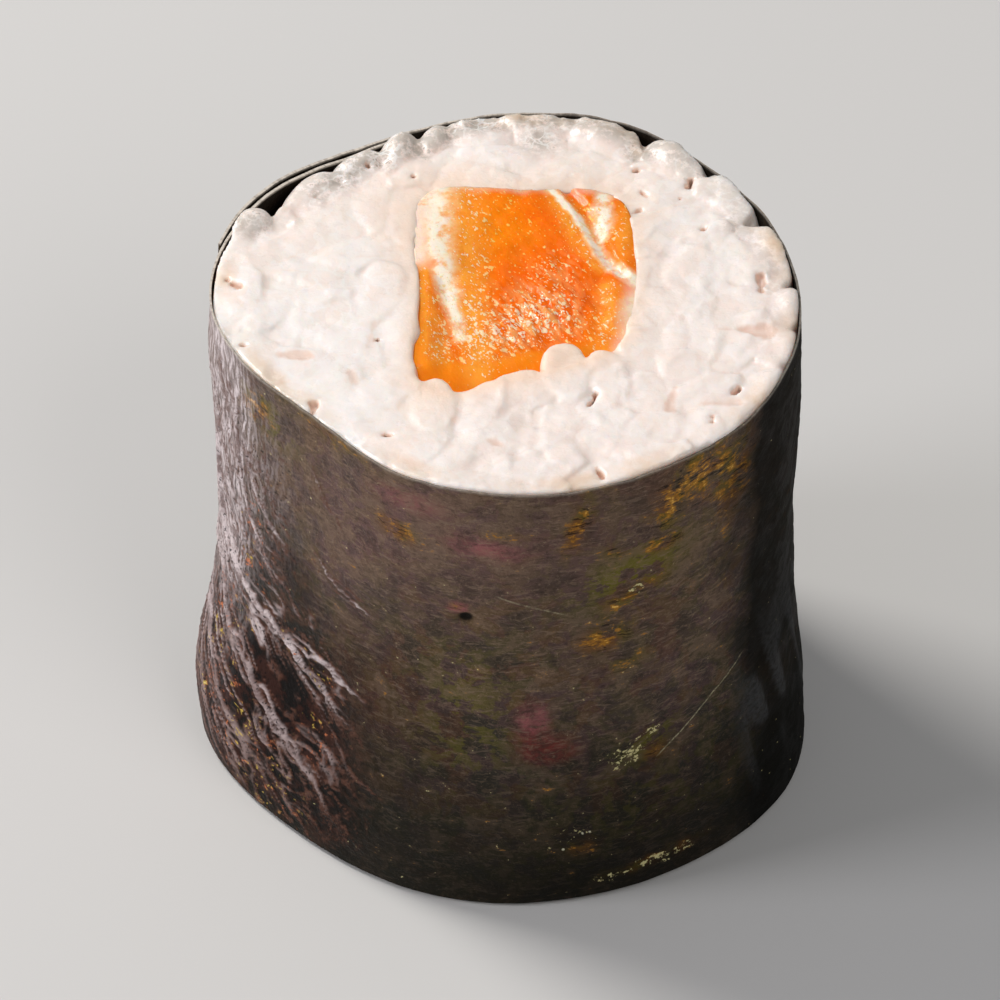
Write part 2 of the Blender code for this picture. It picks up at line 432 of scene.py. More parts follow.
    def net(self):
        """Fine ridges that part and meet again round long narrow hollows.

        Noise is drawn out along the way the creases run, and the ridges are
        where it changes sign.
        """
        shape, coarse = self.relief.shape, 5
        s = self.low[0] + self.STEP * np.arange(shape[0])[:, None] + 0.0 * np.arange(shape[1])[None, :]
        z = self.low[1] + self.STEP * np.arange(shape[1])[None, :] + 0.0 * np.arange(shape[0])[:, None]
        spots = np.stack([s[::coarse, ::coarse], z[::coarse, ::coarse]], -1)
        ways = self.way(spots.reshape(-1, 2)).reshape(spots.shape)
        angle = np.degrees(s / UNROLL)
        upper = ease((z - 15.0) / 6.0)
        lines = np.zeros(shape)
        for size, reach, width, share, seed in ((0.62, 15, 0.34, 1.0, 61), (0.36, 9, 0.42, 0.62, 62)):
            grainy = noise(s / size, z / size, 1.0, seed=seed)
            total, count = grainy.copy(), 1.0
            for sign in (-1.0, 1.0):
                i, j = np.meshgrid(np.arange(shape[0], dtype=float), np.arange(shape[1], dtype=float), indexing="ij")
                for _ in range(reach):
                    ci = np.clip(i, 0, shape[0] - 1).astype(int)
                    cj = np.clip(j, 0, shape[1] - 1).astype(int)
                    way = ways[ci // coarse, cj // coarse]
                    i = i + 2.0 * sign * way[..., 0]
                    j = j + 2.0 * sign * way[..., 1]
                    total += grainy[np.clip(i, 0, shape[0] - 1).astype(int), np.clip(j, 0, shape[1] - 1).astype(int)]
                    count += 1.0
            total = total / total.std()
            strong = ease(0.50 + 1.0 * noise(s / 1.8, z / 2.8, 3.0, seed=seed + 5))
            lines = np.maximum(lines, share * np.exp(-((total / width) ** 2)) * (0.18 + 0.82 * strong))
        bare = patch(angle, z, 214.0, 8.4, 3.2, 1.3, -18.0) + patch(angle, z, 199.5, 6.6, 1.4, 1.1, -30.0)
        lines = lines * self.amount(angle, z) * (1.0 - 0.45 * upper)
        lines = lines * (1.0 - 0.85 * np.clip(bare, 0.0, 1.0)) * (1.0 - 0.35 * ease((angle - 208.0) / 20.0))
        self.relief = np.maximum(self.relief, 0.100 * lines)
        self.mark = np.maximum(self.mark, lines)

    @staticmethod
    def amount(angle, z):
        """How creased the wall is at a place, from 0 to 1."""
        bound = 209.0 + 20.0 * ease((17.5 - z) / 8.0)
        there = ease((angle - 168.0) / 9.0) * (1.0 - ease((angle - bound) / 18.0))
        return there * (0.40 + 0.60 * ease((28.0 - z) / 6.0)) * (0.35 + 0.65 * ease(z / 2.0))

    def at(self, angle, z):
        """(relief in mm, strength from 0 to 1) at places on the wall."""
        i = np.clip((np.radians(angle) * UNROLL - self.low[0]) / self.STEP, 0.0, self.relief.shape[0] - 1.001)
        j = np.clip((z - self.low[1]) / self.STEP, 0.0, self.relief.shape[1] - 1.001)
        i0, j0 = i.astype(int), j.astype(int)
        fi, fj = i - i0, j - j0
        found = []
        for raster in (self.relief, self.mark):
            found.append(
                raster[i0, j0] * (1 - fi) * (1 - fj) + raster[i0 + 1, j0] * fi * (1 - fj)
                + raster[i0, j0 + 1] * (1 - fi) * fj + raster[i0 + 1, j0 + 1] * fi * fj
            )
        # none go on past the raster's own ends
        within = ease((angle - 165.0) / 5.0) * (1.0 - ease((angle - 256.0) / 5.0))
        return [within * values for values in found]


def sheet_relief(turned, z):
    """(relief outwards in mm, crease, pit and slipped folds, each from 0 to 1)."""
    angle = (turned + LAP_START) % 360.0
    s = np.radians(turned) * UNROLL
    relief = 0.12 * fractal(s / 6.0, z / 5.0, seed=3, octaves=2)
    relief += 0.055 * noise(s / 2.7, z / 2.3, 4.0, seed=8)
    relief += 0.030 * fractal(s / 1.2, z / 1.0, 9.0, seed=15, octaves=3)
    # wrinkles, thin and irregular
    wrinkle = 1.0 - np.clip(np.abs(fractal(s / 2.3, z / 1.9, 4.0, seed=21, octaves=3)) / 0.09, 0.0, 1.0)
    relief += 0.035 * wrinkle
    outside = turned >= LAP_ANGLE * 0.5
    there = Creases.amount(angle, z) * outside
    ridge, crease = Creases().at(angle, z)
    relief += ridge * outside - 0.05 * there
    crease = crease * outside

    # a small pit in the front
    hole = patch(angle, z, 262.0, 19.6, 0.46, 0.38, 12.0)
    relief -= 0.26 * hole - 0.12 * patch(angle, z, 259.6, 20.3, 0.8, 0.4, 10.0)
    # soft upright folds at the lower right, as where the wet sheet has slipped
    folds = ease((angle - 318.0) / 8.0) * (1.0 - ease((angle - 348.0) / 10.0)) * hump(z, 8.0, 4.2)
    slip = noise(s / 1.05 + z / 4.0, z / 4.0, 2.0, seed=47)
    relief += 0.20 * folds * slip
    slip = folds * ease((slip - 0.05) / 0.35)
    # and a few shallow ones round the back
    back = ease((angle - 6.0) / 20.0) * (1.0 - ease((angle - 140.0) / 20.0))
    relief += 0.07 * back * noise(s / 2.0 + z / 5.0, z / 6.0, 7.0, seed=49)
    return relief, crease, hole, slip


def build_nori():
    columns = sheet_columns()
    rows = 182
    share = np.linspace(0.0, 1.0, rows + 1)
    turned = np.repeat(columns[:, None], rows + 1, 1)
    angle = turned + LAP_START
    ragged = 0.10 * fractal(np.radians(turned) * UNROLL / 1.6, 0.0, 3.0, seed=51, octaves=3)
    top = rim_height(angle) - 0.10 + ragged
    z = NORI_FOOT + share[None, :] * (top - NORI_FOOT)
    # the outer end runs a little uneven
    end = ease((turned - (SHEET_END - 9.0)) / 9.0)
    shift = end * 1.1 * fractal(z / 5.0, 0.0, 2.0, seed=61, octaves=3)
    turned = turned + shift
    angle = turned + LAP_START

    relief, crease, hole, slip = sheet_relief(turned, z)
    relief = relief * (0.35 + 0.65 * ease((top - z) / 1.2)) * (0.35 + 0.65 * ease(z / 1.2))
    outer = wrap_radius(angle, z) - 0.66 * tuck(turned)
    # the outer end lies down on the layer under it
    outer -= 0.13 * ease((turned - (SHEET_END - 14.0)) / 13.0)
    # the two layers part a little at the rim, over the lap
    lap = ease((turned - 6.0) / 8.0) * (1.0 - ease((turned - 44.0) / 10.0))
    outer -= 0.12 * lap * ease((z - HEIGHT + 5.0) / 5.0)
    outer += relief * np.where(turned < LAP_ANGLE, 0.3, 1.0)

    def at(radius, height):
        a = np.radians(angle)
        return np.stack([radius * np.cos(a), radius * np.sin(a), height], -1)

    inner_rows = np.concatenate([[0, 1, 4], np.arange(12, rows - 12, 12), [rows - 10, rows - 5, rows - 2, rows - 1, rows]])
    # thinner towards the rim, but not where the two layers stand free at the back left
    free = np.clip(lobe(angle, 137.0, 14.0) * 1.3, 0.0, 1.0)
    thick = VISIBLE_THICK * (0.55 + 0.35 * free + (0.45 - 0.35 * free) * ease((top - z) / 1.0))
    inner = outer - thick
    # it has fewer rows, so each lies under the lowest place up to its neighbours
    for t, row in enumerate(inner_rows):
        low, high = inner_rows[max(t - 1, 0)], inner_rows[min(t + 1, len(inner_rows) - 1)]
        inner[:, row] = outer[:, low:high + 1].min(axis=1) - thick[:, row]
    front = at(outer, z)
    back = at(inner, z)[:, inner_rows]

    n, m, k = len(columns), rows + 1, len(inner_rows)
    points = np.concatenate([front.reshape(-1, 3), back.reshape(-1, 3)])
    quads = []
    i = np.arange(n - 1)[:, None]
    j = np.arange(m - 1)[None, :]
    a = i * m + j
    quads.append(np.stack([a, a + m, a + m + 1, a + 1], -1).reshape(-1, 4))
    base = n * m
    j = np.arange(k - 1)[None, :]
    b = base + i * k + j
    quads.append(np.stack([b, b + 1, b + k + 1, b + k], -1).reshape(-1, 4))
    i = np.arange(n - 1)
    # the rim and the foot
    quads.append(np.stack([i * m + m - 1, (i + 1) * m + m - 1, base + (i + 1) * k + k - 1, base + i * k + k - 1], -1))
    quads.append(np.stack([i * m, base + i * k, base + (i + 1) * k, (i + 1) * m], -1))
    rim = np.zeros_like(z)
    rim[:, -1] = 1.0
    return points, quads, (n, m, k, base, inner_rows), turned, z, crease, hole, slip, rim


def nori_piece():
    points, quads, (n, m, k, base, inner_rows), turned, z, crease, hole, slip, rim = build_nori()
    faces = [tuple(q) for part in quads for q in part.tolist()]
    for column in (0, n - 1):
        # each end of the sheet is closed with a strip that follows both faces' rows
        for t in range(k - 1):
            low, high = int(inner_rows[t]), int(inner_rows[t + 1])
            ring = [column * m + r for r in range(low, high + 1)]
            ring += [base + column * k + t + 1, base + column * k + t]
            faces.append(tuple(ring if column == 0 else ring[::-1]))
    mesh = bpy.data.meshes.new("nori_sheet")
    mesh.from_pydata(to_world(points).tolist(), [], faces)
    mesh.validate()
    mesh.shade_smooth()
    mesh.set_sharp_from_angle(angle=math.radians(60.0))
    piece = bpy.data.objects.new("nori_sheet", mesh)
    bpy.context.scene.collection.objects.link(piece)
    s = np.radians(turned) * UNROLL
    place = np.stack([s, z, np.zeros_like(s)], -1)
    set_vectors(piece, "sheet", np.concatenate([place.reshape(-1, 3), place[:, inner_rows].reshape(-1, 3)]))
    angle = (turned + LAP_START) % 360.0

    def both(values, within=1.0):
        return np.concatenate([values.ravel(), within * values[:, inner_rows].ravel()])

    def spots(*where):
        return sum(size * patch(angle, z, *rest) for size, *rest in where)

    # where the sheet is thin and shows gold, where it is olive, reddish or rust brown
    gold = spots(
        (1.10, 308.0, 26.8, 2.4, 1.8, 20.0), (0.85, 321.0, 25.4, 1.8, 2.6), (0.50, 303.0, 25.2, 0.8, 1.6, -10.0), (0.85, 284.3, 26.0, 0.7, 2.0, -20.0),
        (0.75, 302.5, 23.2, 1.2, 0.6), (0.60, 291.5, 23.8, 0.8, 0.6), (0.75, 247.0, 24.5, 1.5, 0.8, -12.0),
        (0.40, 232.0, 28.0, 3.0, 0.6), (0.75, 296.3, 20.6, 2.0, 0.8, 22.0), (0.80, 290.6, 17.8, 1.8, 1.1, 20.0), (0.45, 295.0, 15.6, 2.2, 0.8, 15.0),
        (0.45, 343.0, 20.0, 3.0, 4.0), (0.60, 260.0, 20.4, 0.5, 0.3), (0.40, 207.0, 17.6, 0.8, 0.6),
        (0.40, 224.5, 19.9, 0.4, 0.6), (0.45, 40.0, 23.0, 7.0, 3.0), (0.45, 100.0, 12.0, 7.0, 3.0),
        (0.55, 300.5, 8.6, 0.9, 0.7, 40.0), (0.50, 285.0, 3.6, 1.0, 0.7), (0.60, 300.0, 1.4, 3.2, 0.5, 4.0),
        (1.10, 204.0, 26.4, 1.3, 1.2), (0.35, 318.0, 20.0, 1.4, 2.0), (0.30, 270.0, 25.6, 2.0, 0.5),
    ) + 0.30 * hump(z, HEIGHT, 0.6) * ease(0.5 + noise(s / 2.3, 0.0, 1.0, seed=141))
    olive = spots(
        (1.35, 296.0, 21.8, 2.8, 1.5, 12.0), (1.3, 205.0, 26.5, 2.6, 1.1, -20.0), (1.1, 299.5, 9.6, 1.6, 0.8, 30.0), (0.7, 262.0, 12.0, 2.4, 4.5),
        (0.8, 298.0, 5.0, 5.0, 2.4), (0.7, 280.0, 2.2, 5.0, 1.6), (0.6, 330.0, 4.5, 4.0, 3.0),
        (0.6, 15.0, 14.0, 6.0, 7.0), (0.6, 75.0, 8.0, 8.0, 5.0), (0.5, 130.0, 18.0, 7.0, 5.0),
    )
    red = spots(
        (1.0, 275.3, 12.4, 0.9, 1.3), (0.9, 278.5, 10.3, 1.6, 0.9), (0.55, 266.0, 24.6, 2.4, 0.8, -8.0),
        (0.40, 250.0, 26.8, 3.0, 0.9), (0.45, 12.0, 12.0, 3.0, 2.0), (0.5, 62.0, 22.0, 2.4, 1.6),
        (1.0, 260.7, 20.3, 0.55, 0.40),
    )
    rust = spots((1.0, 240.0, 11.5, 4.2, 4.4), (0.6, 226.0, 6.0, 3.0, 2.2), (0.6, 52.0, 10.0, 6.0, 4.0))
    plum = spots((1.0, 258.0, 25.0, 8.0, 3.6), (0.7, 232.0, 21.0, 4.0, 4.0), (0.5, 300.0, 14.0, 7.0, 4.0),
                 (0.6, 120.0, 24.0, 8.0, 4.0))
    # the painted pale sheen of the left side frays out round the back
    wander = angle + 9.0 * fractal(s / 1.5, z / 4.5, 11.0, seed=144, octaves=3)
    painted_sheen = (0.45 * ease((wander - 163.0) / 10.0) + 0.55 * ease((wander - 171.0) / 9.0)) * (1.0 - ease((angle - 192.0) / 14.0)) * (0.06 + 1.16 * ease((z - 7.5) / 10.0))
    painted_sheen = painted_sheen + 0.35 * patch(angle, z, 202.0, 22.0, 3.2, 5.0)
    # blackest low on the left between the creases, and at the right edge
    onward = np.where(angle < 120.0, angle + 360.0, angle)
    ragged = onward + 6.0 * fractal(s / 2.8, z / 3.4, 6.0, seed=143, octaves=3)
    shade = 1.35 * ease((ragged - 313.0) / 20.0) * (1.0 - ease((ragged - 366.0) / 30.0)) * (1.0 - 0.35 * hump(z, 8.0, 4.0))
    shade = shade + spots(
        (0.26, 238.0, 12.0, 6.0, 7.0), (1.1, 196.0, 5.5, 7.0, 5.5), (1.0, 214.0, 8.6, 3.6, 1.6, -18.0), (0.5, 216.0, 17.0, 3.0, 1.6, -30.0), (0.5, 285.0, 1.0, 8.0, 2.0), (0.7, 60.0, 3.0, 9.0, 4.0))
    # pale flecks, and painted glints along the foot at the front
    fleck = spots((1.25, 294.3, 9.0, 1.2, 0.8), (1.05, 300.0, 1.3, 3.4, 0.40, 4.0), (0.8, 300.0, 10.2, 0.8, 0.5, 35.0),
                  (0.8, 296.5, 20.6, 1.4, 0.5, 22.0), (0.5, 284.0, 4.4, 2.0, 1.0), (0.4, 40.0, 5.0, 5.0, 2.0))
    set_numbers(piece, "crease", both(crease, 0.0))
    # the hollows between the creases are red-brown and darkened with painted shade, and their lower ends ember and gold
    set_numbers(piece, "web", both(Creases.amount(angle, z) * (turned >= LAP_ANGLE * 0.5), 0.0))
    ember = spots((1.0, 204.0, 3.2, 5.0, 2.6, -25.0), (0.8, 192.0, 9.0, 2.0, 3.0), (0.9, 203.0, 16.6, 1.6, 3.0),
                  (0.8, 222.0, 11.6, 3.0, 1.0, -20.0), (0.9, 201.0, 10.6, 0.9, 0.6, 30.0), (0.7, 226.0, 7.0, 1.6, 1.6))
    set_numbers(piece, "ember", both(ember, 0.0))
    set_numbers(piece, "gold", both(gold))
    set_numbers(piece, "olive", both(olive))
    set_numbers(piece, "red", both(red))
    set_numbers(piece, "rust", both(rust))
    set_numbers(piece, "plum", both(plum))
    set_numbers(piece, "painted_sheen", both(painted_sheen, 0.0))
    set_numbers(piece, "shade", both(shade))
    set_numbers(piece, "fleck", both(fleck, 0.0))
    set_numbers(piece, "hole", both(hole, 0.0))
    set_numbers(piece, "slip", both(slip, 0.0))
    # the inner face, which the material paints near black as painted shade
    set_numbers(piece, "inner", np.concatenate([np.zeros(z.size), np.ones(z[:, inner_rows].size)]))
    # the cut edge catches the light, most at the back left where the layers part
    set_numbers(piece, "rim", both(rim * (0.30 + 0.70 * ease((np.cos(np.radians(angle - 140.0)) - 0.3) / 0.5))))
    return piece


# ================================================================== the salmon
def salmon_edge(direction):
    """How far the section reaches in a direction, for a square of half size 1."""
    c, s = np.abs(np.cos(direction)), np.abs(np.sin(direction))
    n = SALMON_SQUARE
    towards, size, sharpness = SALMON_CORNER
    wave = 1.0 + 0.030 * np.sin(3.0 * direction + 0.6) + 0.015 * np.sin(5.0 * direction + 2.0)
    wave = wave + size * np.exp(sharpness * (np.cos(direction - math.radians(towards)) - 1.0))
    return (c**n + s**n) ** (-1.0 / n) * wave


def salmon_depth(across, upwards):
    """Half depth of the section on the side it is asked for."""
    return np.where(upwards, SALMON_HALF[1], SALMON_HALF[2] * (1.0 - SALMON_SKEW * across))


def salmon_point(x, y):
    """Moves points of a square of half size 1 onto the salmon's section, in mm."""
    reach = np.maximum(np.abs(x), np.abs(y))
    direction = np.arctan2(y, x)
    edge = salmon_edge(direction) * reach
    across, along = edge * np.cos(direction), edge * np.sin(direction)
    return (
        SALMON_CENTRE[0] + SALMON_HALF[0] * across,
        SALMON_CENTRE[1] + salmon_depth(across, along > 0.0) * along,
    )


def salmon_share(x, y):
    """0 at the middle of the salmon's section, 1 at its edge, more outside."""
    across = (x - SALMON_CENTRE[0]) / SALMON_HALF[0]
    along = (y - SALMON_CENTRE[1]) / salmon_depth(np.clip(across, -1.3, 1.3), y > SALMON_CENTRE[1])
    return np.hypot(across, along) / salmon_edge(np.arctan2(along, across))


def stroke(x, y, corners, halves, soft=0.55):
    """1 on a bent line, falling to 0 past its half width, which changes along it."""
    d, along = line_distance(x, y, rounded(corners))
    half = np.interp(along, np.linspace(0.0, 1.0, len(halves)), halves)
    return 1.0 - ease((d / half - (1.0 - soft)) / (2.0 * soft))


def oval(x, y, cx, cy, wide, tall, turn=0.0):
    t = math.radians(turn)
    u = (x - cx) * math.cos(t) + (y - cy) * math.sin(t)
    v = -(x - cx) * math.sin(t) + (y - cy) * math.cos(t)
    return np.exp(-((u / wide) ** 2) - (v / tall) ** 2)


def salmon_marks(x, y):
    """Where the fat, the coarse muscle ends and the wet front edge are, each 0 to 1."""
    a = x + 0.26 * fractal(x / 1.1, y / 1.1, 1.0, seed=90, octaves=4, fall=0.6)
    b = y + 0.26 * fractal(x / 1.1, y / 1.1, 9.0, seed=93, octaves=4, fall=0.6)
    marks = {}
    # the broad fat of the left side with its thin tail, and the fold at the right
    marks["cream"] = np.maximum.reduce([
        stroke(a, b, ((-3.85, 10.6), (-3.85, 7.8), (-3.65, 5.4), (-3.30, 3.2), (-2.95, 1.0), (-2.65, -1.0), (-2.3, -2.6)), (1.10, 1.02, 0.92, 0.76, 0.58, 0.46, 0.32), 1.0),
        stroke(a, b, ((1.9, 10.2), (2.9, 8.5), (3.7, 7.5), (4.40, 5.6), (4.95, 4.0), (5.9, 2.7), (7.4, 1.4)), (0.20, 0.26, 0.28, 0.30, 0.42, 0.46, 0.60), 0.75),
        0.95 * stroke(a, b, ((5.20, 8.7), (5.20, 7.0), (5.15, 5.4)), (0.36, 0.70, 0.46), 0.8),
        0.80 * stroke(a, b, ((7.0, 0.2), (6.7, -1.8), (6.3, -3.8)), (0.70, 0.60, 0.6), 0.9),
    ])
    marks["peach"] = np.maximum.reduce([
        1.15 * stroke(a, b, ((-3.1, 10.6), (-2.8, 7.4), (-2.55, 4.4), (-2.15, 1.6), (-1.70, -1.2), (-1.45, -3.9), (-1.5, -6.2)), (1.45, 1.35, 1.20, 0.98, 0.80, 0.72, 0.66), 1.0),
        stroke(a, b, ((2.2, 9.9), (3.3, 7.5), (4.1, 5.2), (4.9, 3.0)), (0.40, 0.72, 0.60, 0.42), 0.8),
        0.9 * stroke(a, b, ((5.4, 1.2), (5.9, -1.0), (5.4, -3.2)), (0.6, 0.90, 0.9), 0.95),
        0.85 * stroke(a, b, ((-5.0, 9.4), (-5.1, 6.8), (-4.85, 4.6), (-4.3, 1.6), (-3.9, -2.0), (-3.6, -4.2)), (1.0, 1.0, 0.8, 0.55, 0.55, 0.60), 0.9),
        0.85 * oval(a, b, 6.35, 5.6, 0.8, 2.6),
        0.7 * oval(a, b, 0.9, 9.8, 3.4, 0.5),
    ])
    # cut muscle ends show coarse and pale in the front half
    marks["grain"] = np.clip(
        1.20 * oval(a, b, 2.0, -0.5, 2.5, 2.0, -12.0) + 0.95 * oval(a, b, 0.2, -2.2, 1.6, 1.5)
        + 0.50 * oval(a, b, 2.8, 3.0, 1.4, 1.6) + 0.75 * oval(a, b, -2.7, -2.6, 1.1, 1.2)
        + 0.60 * oval(a, b, -3.1, 0.6, 0.6, 2.4) + 0.30 * oval(a, b, -0.9, -4.6, 1.6, 1.0),
        0.0, 1.0,
    )
    front = 1.0 - ease((b + 4.85 - 0.34 * np.clip(a + 1.0, 0.0, 4.0)) / 0.8)
    side = (1.0 - ease((a + 4.35) / 0.5)) * (1.0 - ease((b - 2.6) / 1.6))
    marks["wet"] = np.clip(np.maximum(front, side) - 0.6 * marks["cream"], 0.0, 1.0)
    marks["warm"] = np.clip(oval(a, b, -0.9, 6.0, 2.2, 3.2) + 0.7 * oval(a, b, 6.35, 5.6, 0.7, 3.0), 0.0, 1.0)
    marks["deep"] = np.clip(oval(a, b, 1.6, 2.7, 2.1, 1.4, -10.0) + 0.75 * oval(a, b, 3.7, 0.6, 1.1, 2.6), 0.0, 1.0)
    return marks


def salmon_relief(x, y, reach, marks):
    relief = 0.30 * (1.0 - reach**2) - 0.02
    relief += 0.14 * fractal(x / 3.0, y / 3.0, seed=72, octaves=3)
    # at the back and the sides the flesh stands level with the rice
    level = np.maximum(ease((y - 1.6) / 2.0), ease((x - 4.6) / 1.2) * ease((y + 2.5) / 1.5))
    level = np.maximum(level, 0.75 * ease((-3.0 - x) / 1.2) * ease((y + 6.5) / 2.0))
    relief += 0.40 * level * ease((reach - 0.30) / 0.60)
    # the thin part at the right lies in a fold of its own
    fold = stroke(x, y, ((3.0, 9.8), (4.1, 7.8), (4.85, 5.6), (5.25, 4.0), (6.2, 2.4)), (0.2, 0.35, 0.35, 0.3, 0.25), 0.9)
    relief -= 0.24 * fold
    relief += 0.14 * oval(x, y, 6.35, 5.4, 0.7, 3.0)
    # ends and threads of muscle, drawn out towards the front right
    t = math.radians(-62.0)
    u, v = x * math.cos(t) + y * math.sin(t), -x * math.sin(t) + y * math.cos(t)
    fleshy = 1.0 - 0.80 * np.clip(marks["cream"] + 0.6 * marks["peach"], 0.0, 1.0)
    smooth = 1.0 - 0.95 * marks["wet"]
    threads = noise(u / 0.58, v / 0.28, 1.0, seed=80) + 0.5 * noise(u / 0.30, v / 0.16, 2.0, seed=81)
    relief += 0.060 * threads * (0.10 + 1.0 * marks["grain"]) * fleshy * smooth
    relief += 0.045 * noise(x / 0.75, y / 0.75, 4.0, seed=86) * fleshy * smooth
    relief -= 0.06 * marks["grain"] * smooth * np.clip(noise(u / 0.8, v / 0.33, 7.0, seed=88), 0.0, 1.0)
    # the front and left edges dip, smooth and wet
    front = 1.0 - ease((y + 7.0 - 0.34 * np.clip(x + 1.0, 0.0, 5.0)) / 2.2)
    relief -= 0.60 * front
    relief -= 0.10 * ease((reach - 0.90) / 0.10) * (1.0 - level)
    return relief


def salmon_piece():
    n, m = 186, 246
    u, v = np.meshgrid(np.linspace(-1, 1, n + 1), np.linspace(-1, 1, m + 1), indexing="ij")
    x, y = salmon_point(u, v)
    reach = np.maximum(np.abs(u), np.abs(v))
    z = HEIGHT - SALMON_RECESS + salmon_relief(x, y, reach, salmon_marks(x, y))
    top = np.stack([x, y, z], -1).reshape(-1, 3)
    # rim of the grid, in order round it
    index = np.arange((n + 1) * (m + 1)).reshape(n + 1, m + 1)
    rim = np.concatenate([index[:-1, 0], index[-1, :-1], index[:0:-1, -1], index[0, :0:-1]])
    count = len(rim)
    points, quads = [top], []
    i, j = np.arange(n)[:, None], np.arange(m)[None, :]
    a = i * (m + 1) + j
    quads.append(np.stack([a, a + m + 1, a + m + 2, a + 1], -1).reshape(-1, 4))
    previous = rim
    total = len(top)
    rim_xy = top[rim, :2]
    low_z = HEIGHT - SALMON_RECESS - 0.75
    for drop in (0.35, 0.8, 1.6, 3.5, 9.0, 16.0, 23.0, low_z):
        points.append(np.column_stack([rim_xy, np.full(count, low_z - drop)]))
        here = np.arange(count) + total
        total += count
        quads.append(np.stack([previous, here, np.roll(here, -1), np.roll(previous, -1)], -1))
        previous = here
    # the lower cut: rings in towards the middle, which lies a little hollow
    centre = np.array(SALMON_CENTRE)
    for share in (0.97, 0.9, 0.8, 0.66, 0.5, 0.33, 0.16, 0.05):
        flat = centre + (rim_xy - centre) * share
        lift = 0.10 * (1.0 - share) + 0.05 * (0.5 + 0.5 * fractal(flat[:, 0] / 1.4, flat[:, 1] / 1.4, 3.0, seed=97, octaves=2)) * (1.0 - share) ** 0.5
        points.append(np.column_stack([flat, lift]))
        here = np.arange(count) + total
        total += count
        quads.append(np.stack([previous, here, np.roll(here, -1), np.roll(previous, -1)], -1))
        previous = here
    points.append(np.array([[*SALMON_CENTRE, 0.13]]))
    tip = total
    all_points = np.concatenate(points)
    mesh = bpy.data.meshes.new("salmon_baton")
    faces = [tuple(q) for part in quads for q in part.tolist()]
    faces += [(int(previous[t]), tip, int(previous[(t + 1) % count])) for t in range(count)]
    mesh.from_pydata(to_world(all_points).tolist(), [], faces)
    mesh.validate()
    mesh.shade_smooth()
    piece = bpy.data.objects.new("salmon_baton", mesh)
    bpy.context.scene.collection.objects.link(piece)
    px, py = all_points[:, 0], all_points[:, 1]
    for name, values in salmon_marks(px, py).items():
        set_numbers(piece, name, values)
    edge = salmon_share(px, py) + 0.035 * fractal(px / 0.8, py / 0.8, 2.0, seed=98, octaves=3)
    merged = np.maximum(ease((py - 2.6) / 1.2) * ease((-1.0 - px) / 2.0), 0.75 * ease((py - 8.2) / 0.8))
    merged = np.maximum(merged, 0.55 * ease((px - 5.2) / 0.8) * ease((3.0 - py) / 1.5))
    set_numbers(piece, "edge", merged * ease((edge - 0.82 - 0.10 * (py > 8.0)) / 0.14))
    set_vectors(piece, "flesh", all_points)
    return piece


# ==================================================================== the rice
GRAIN_LONG, GRAIN_WIDE, GRAIN_THICK = 5.6, 2.45, 2.15

# where the rice falls short of the wrap at its upper rim: (degrees, mm, sharpness)
NOTCHES = (
    (142.0, 1.05, 60.0), (150.5, 0.60, 800.0), (130.0, 0.40, 500.0), (119.0, 0.55, 1100.0),
    (110.0, 0.55, 1100.0), (60.0, 1.10, 1300.0), (44.5, 0.60, 1500.0), (27.0, 1.10, 1500.0),
    (5.0, 0.70, 1500.0), (-8.0, 0.30, 1500.0), (-20.0, 0.30, 1500.0),
)

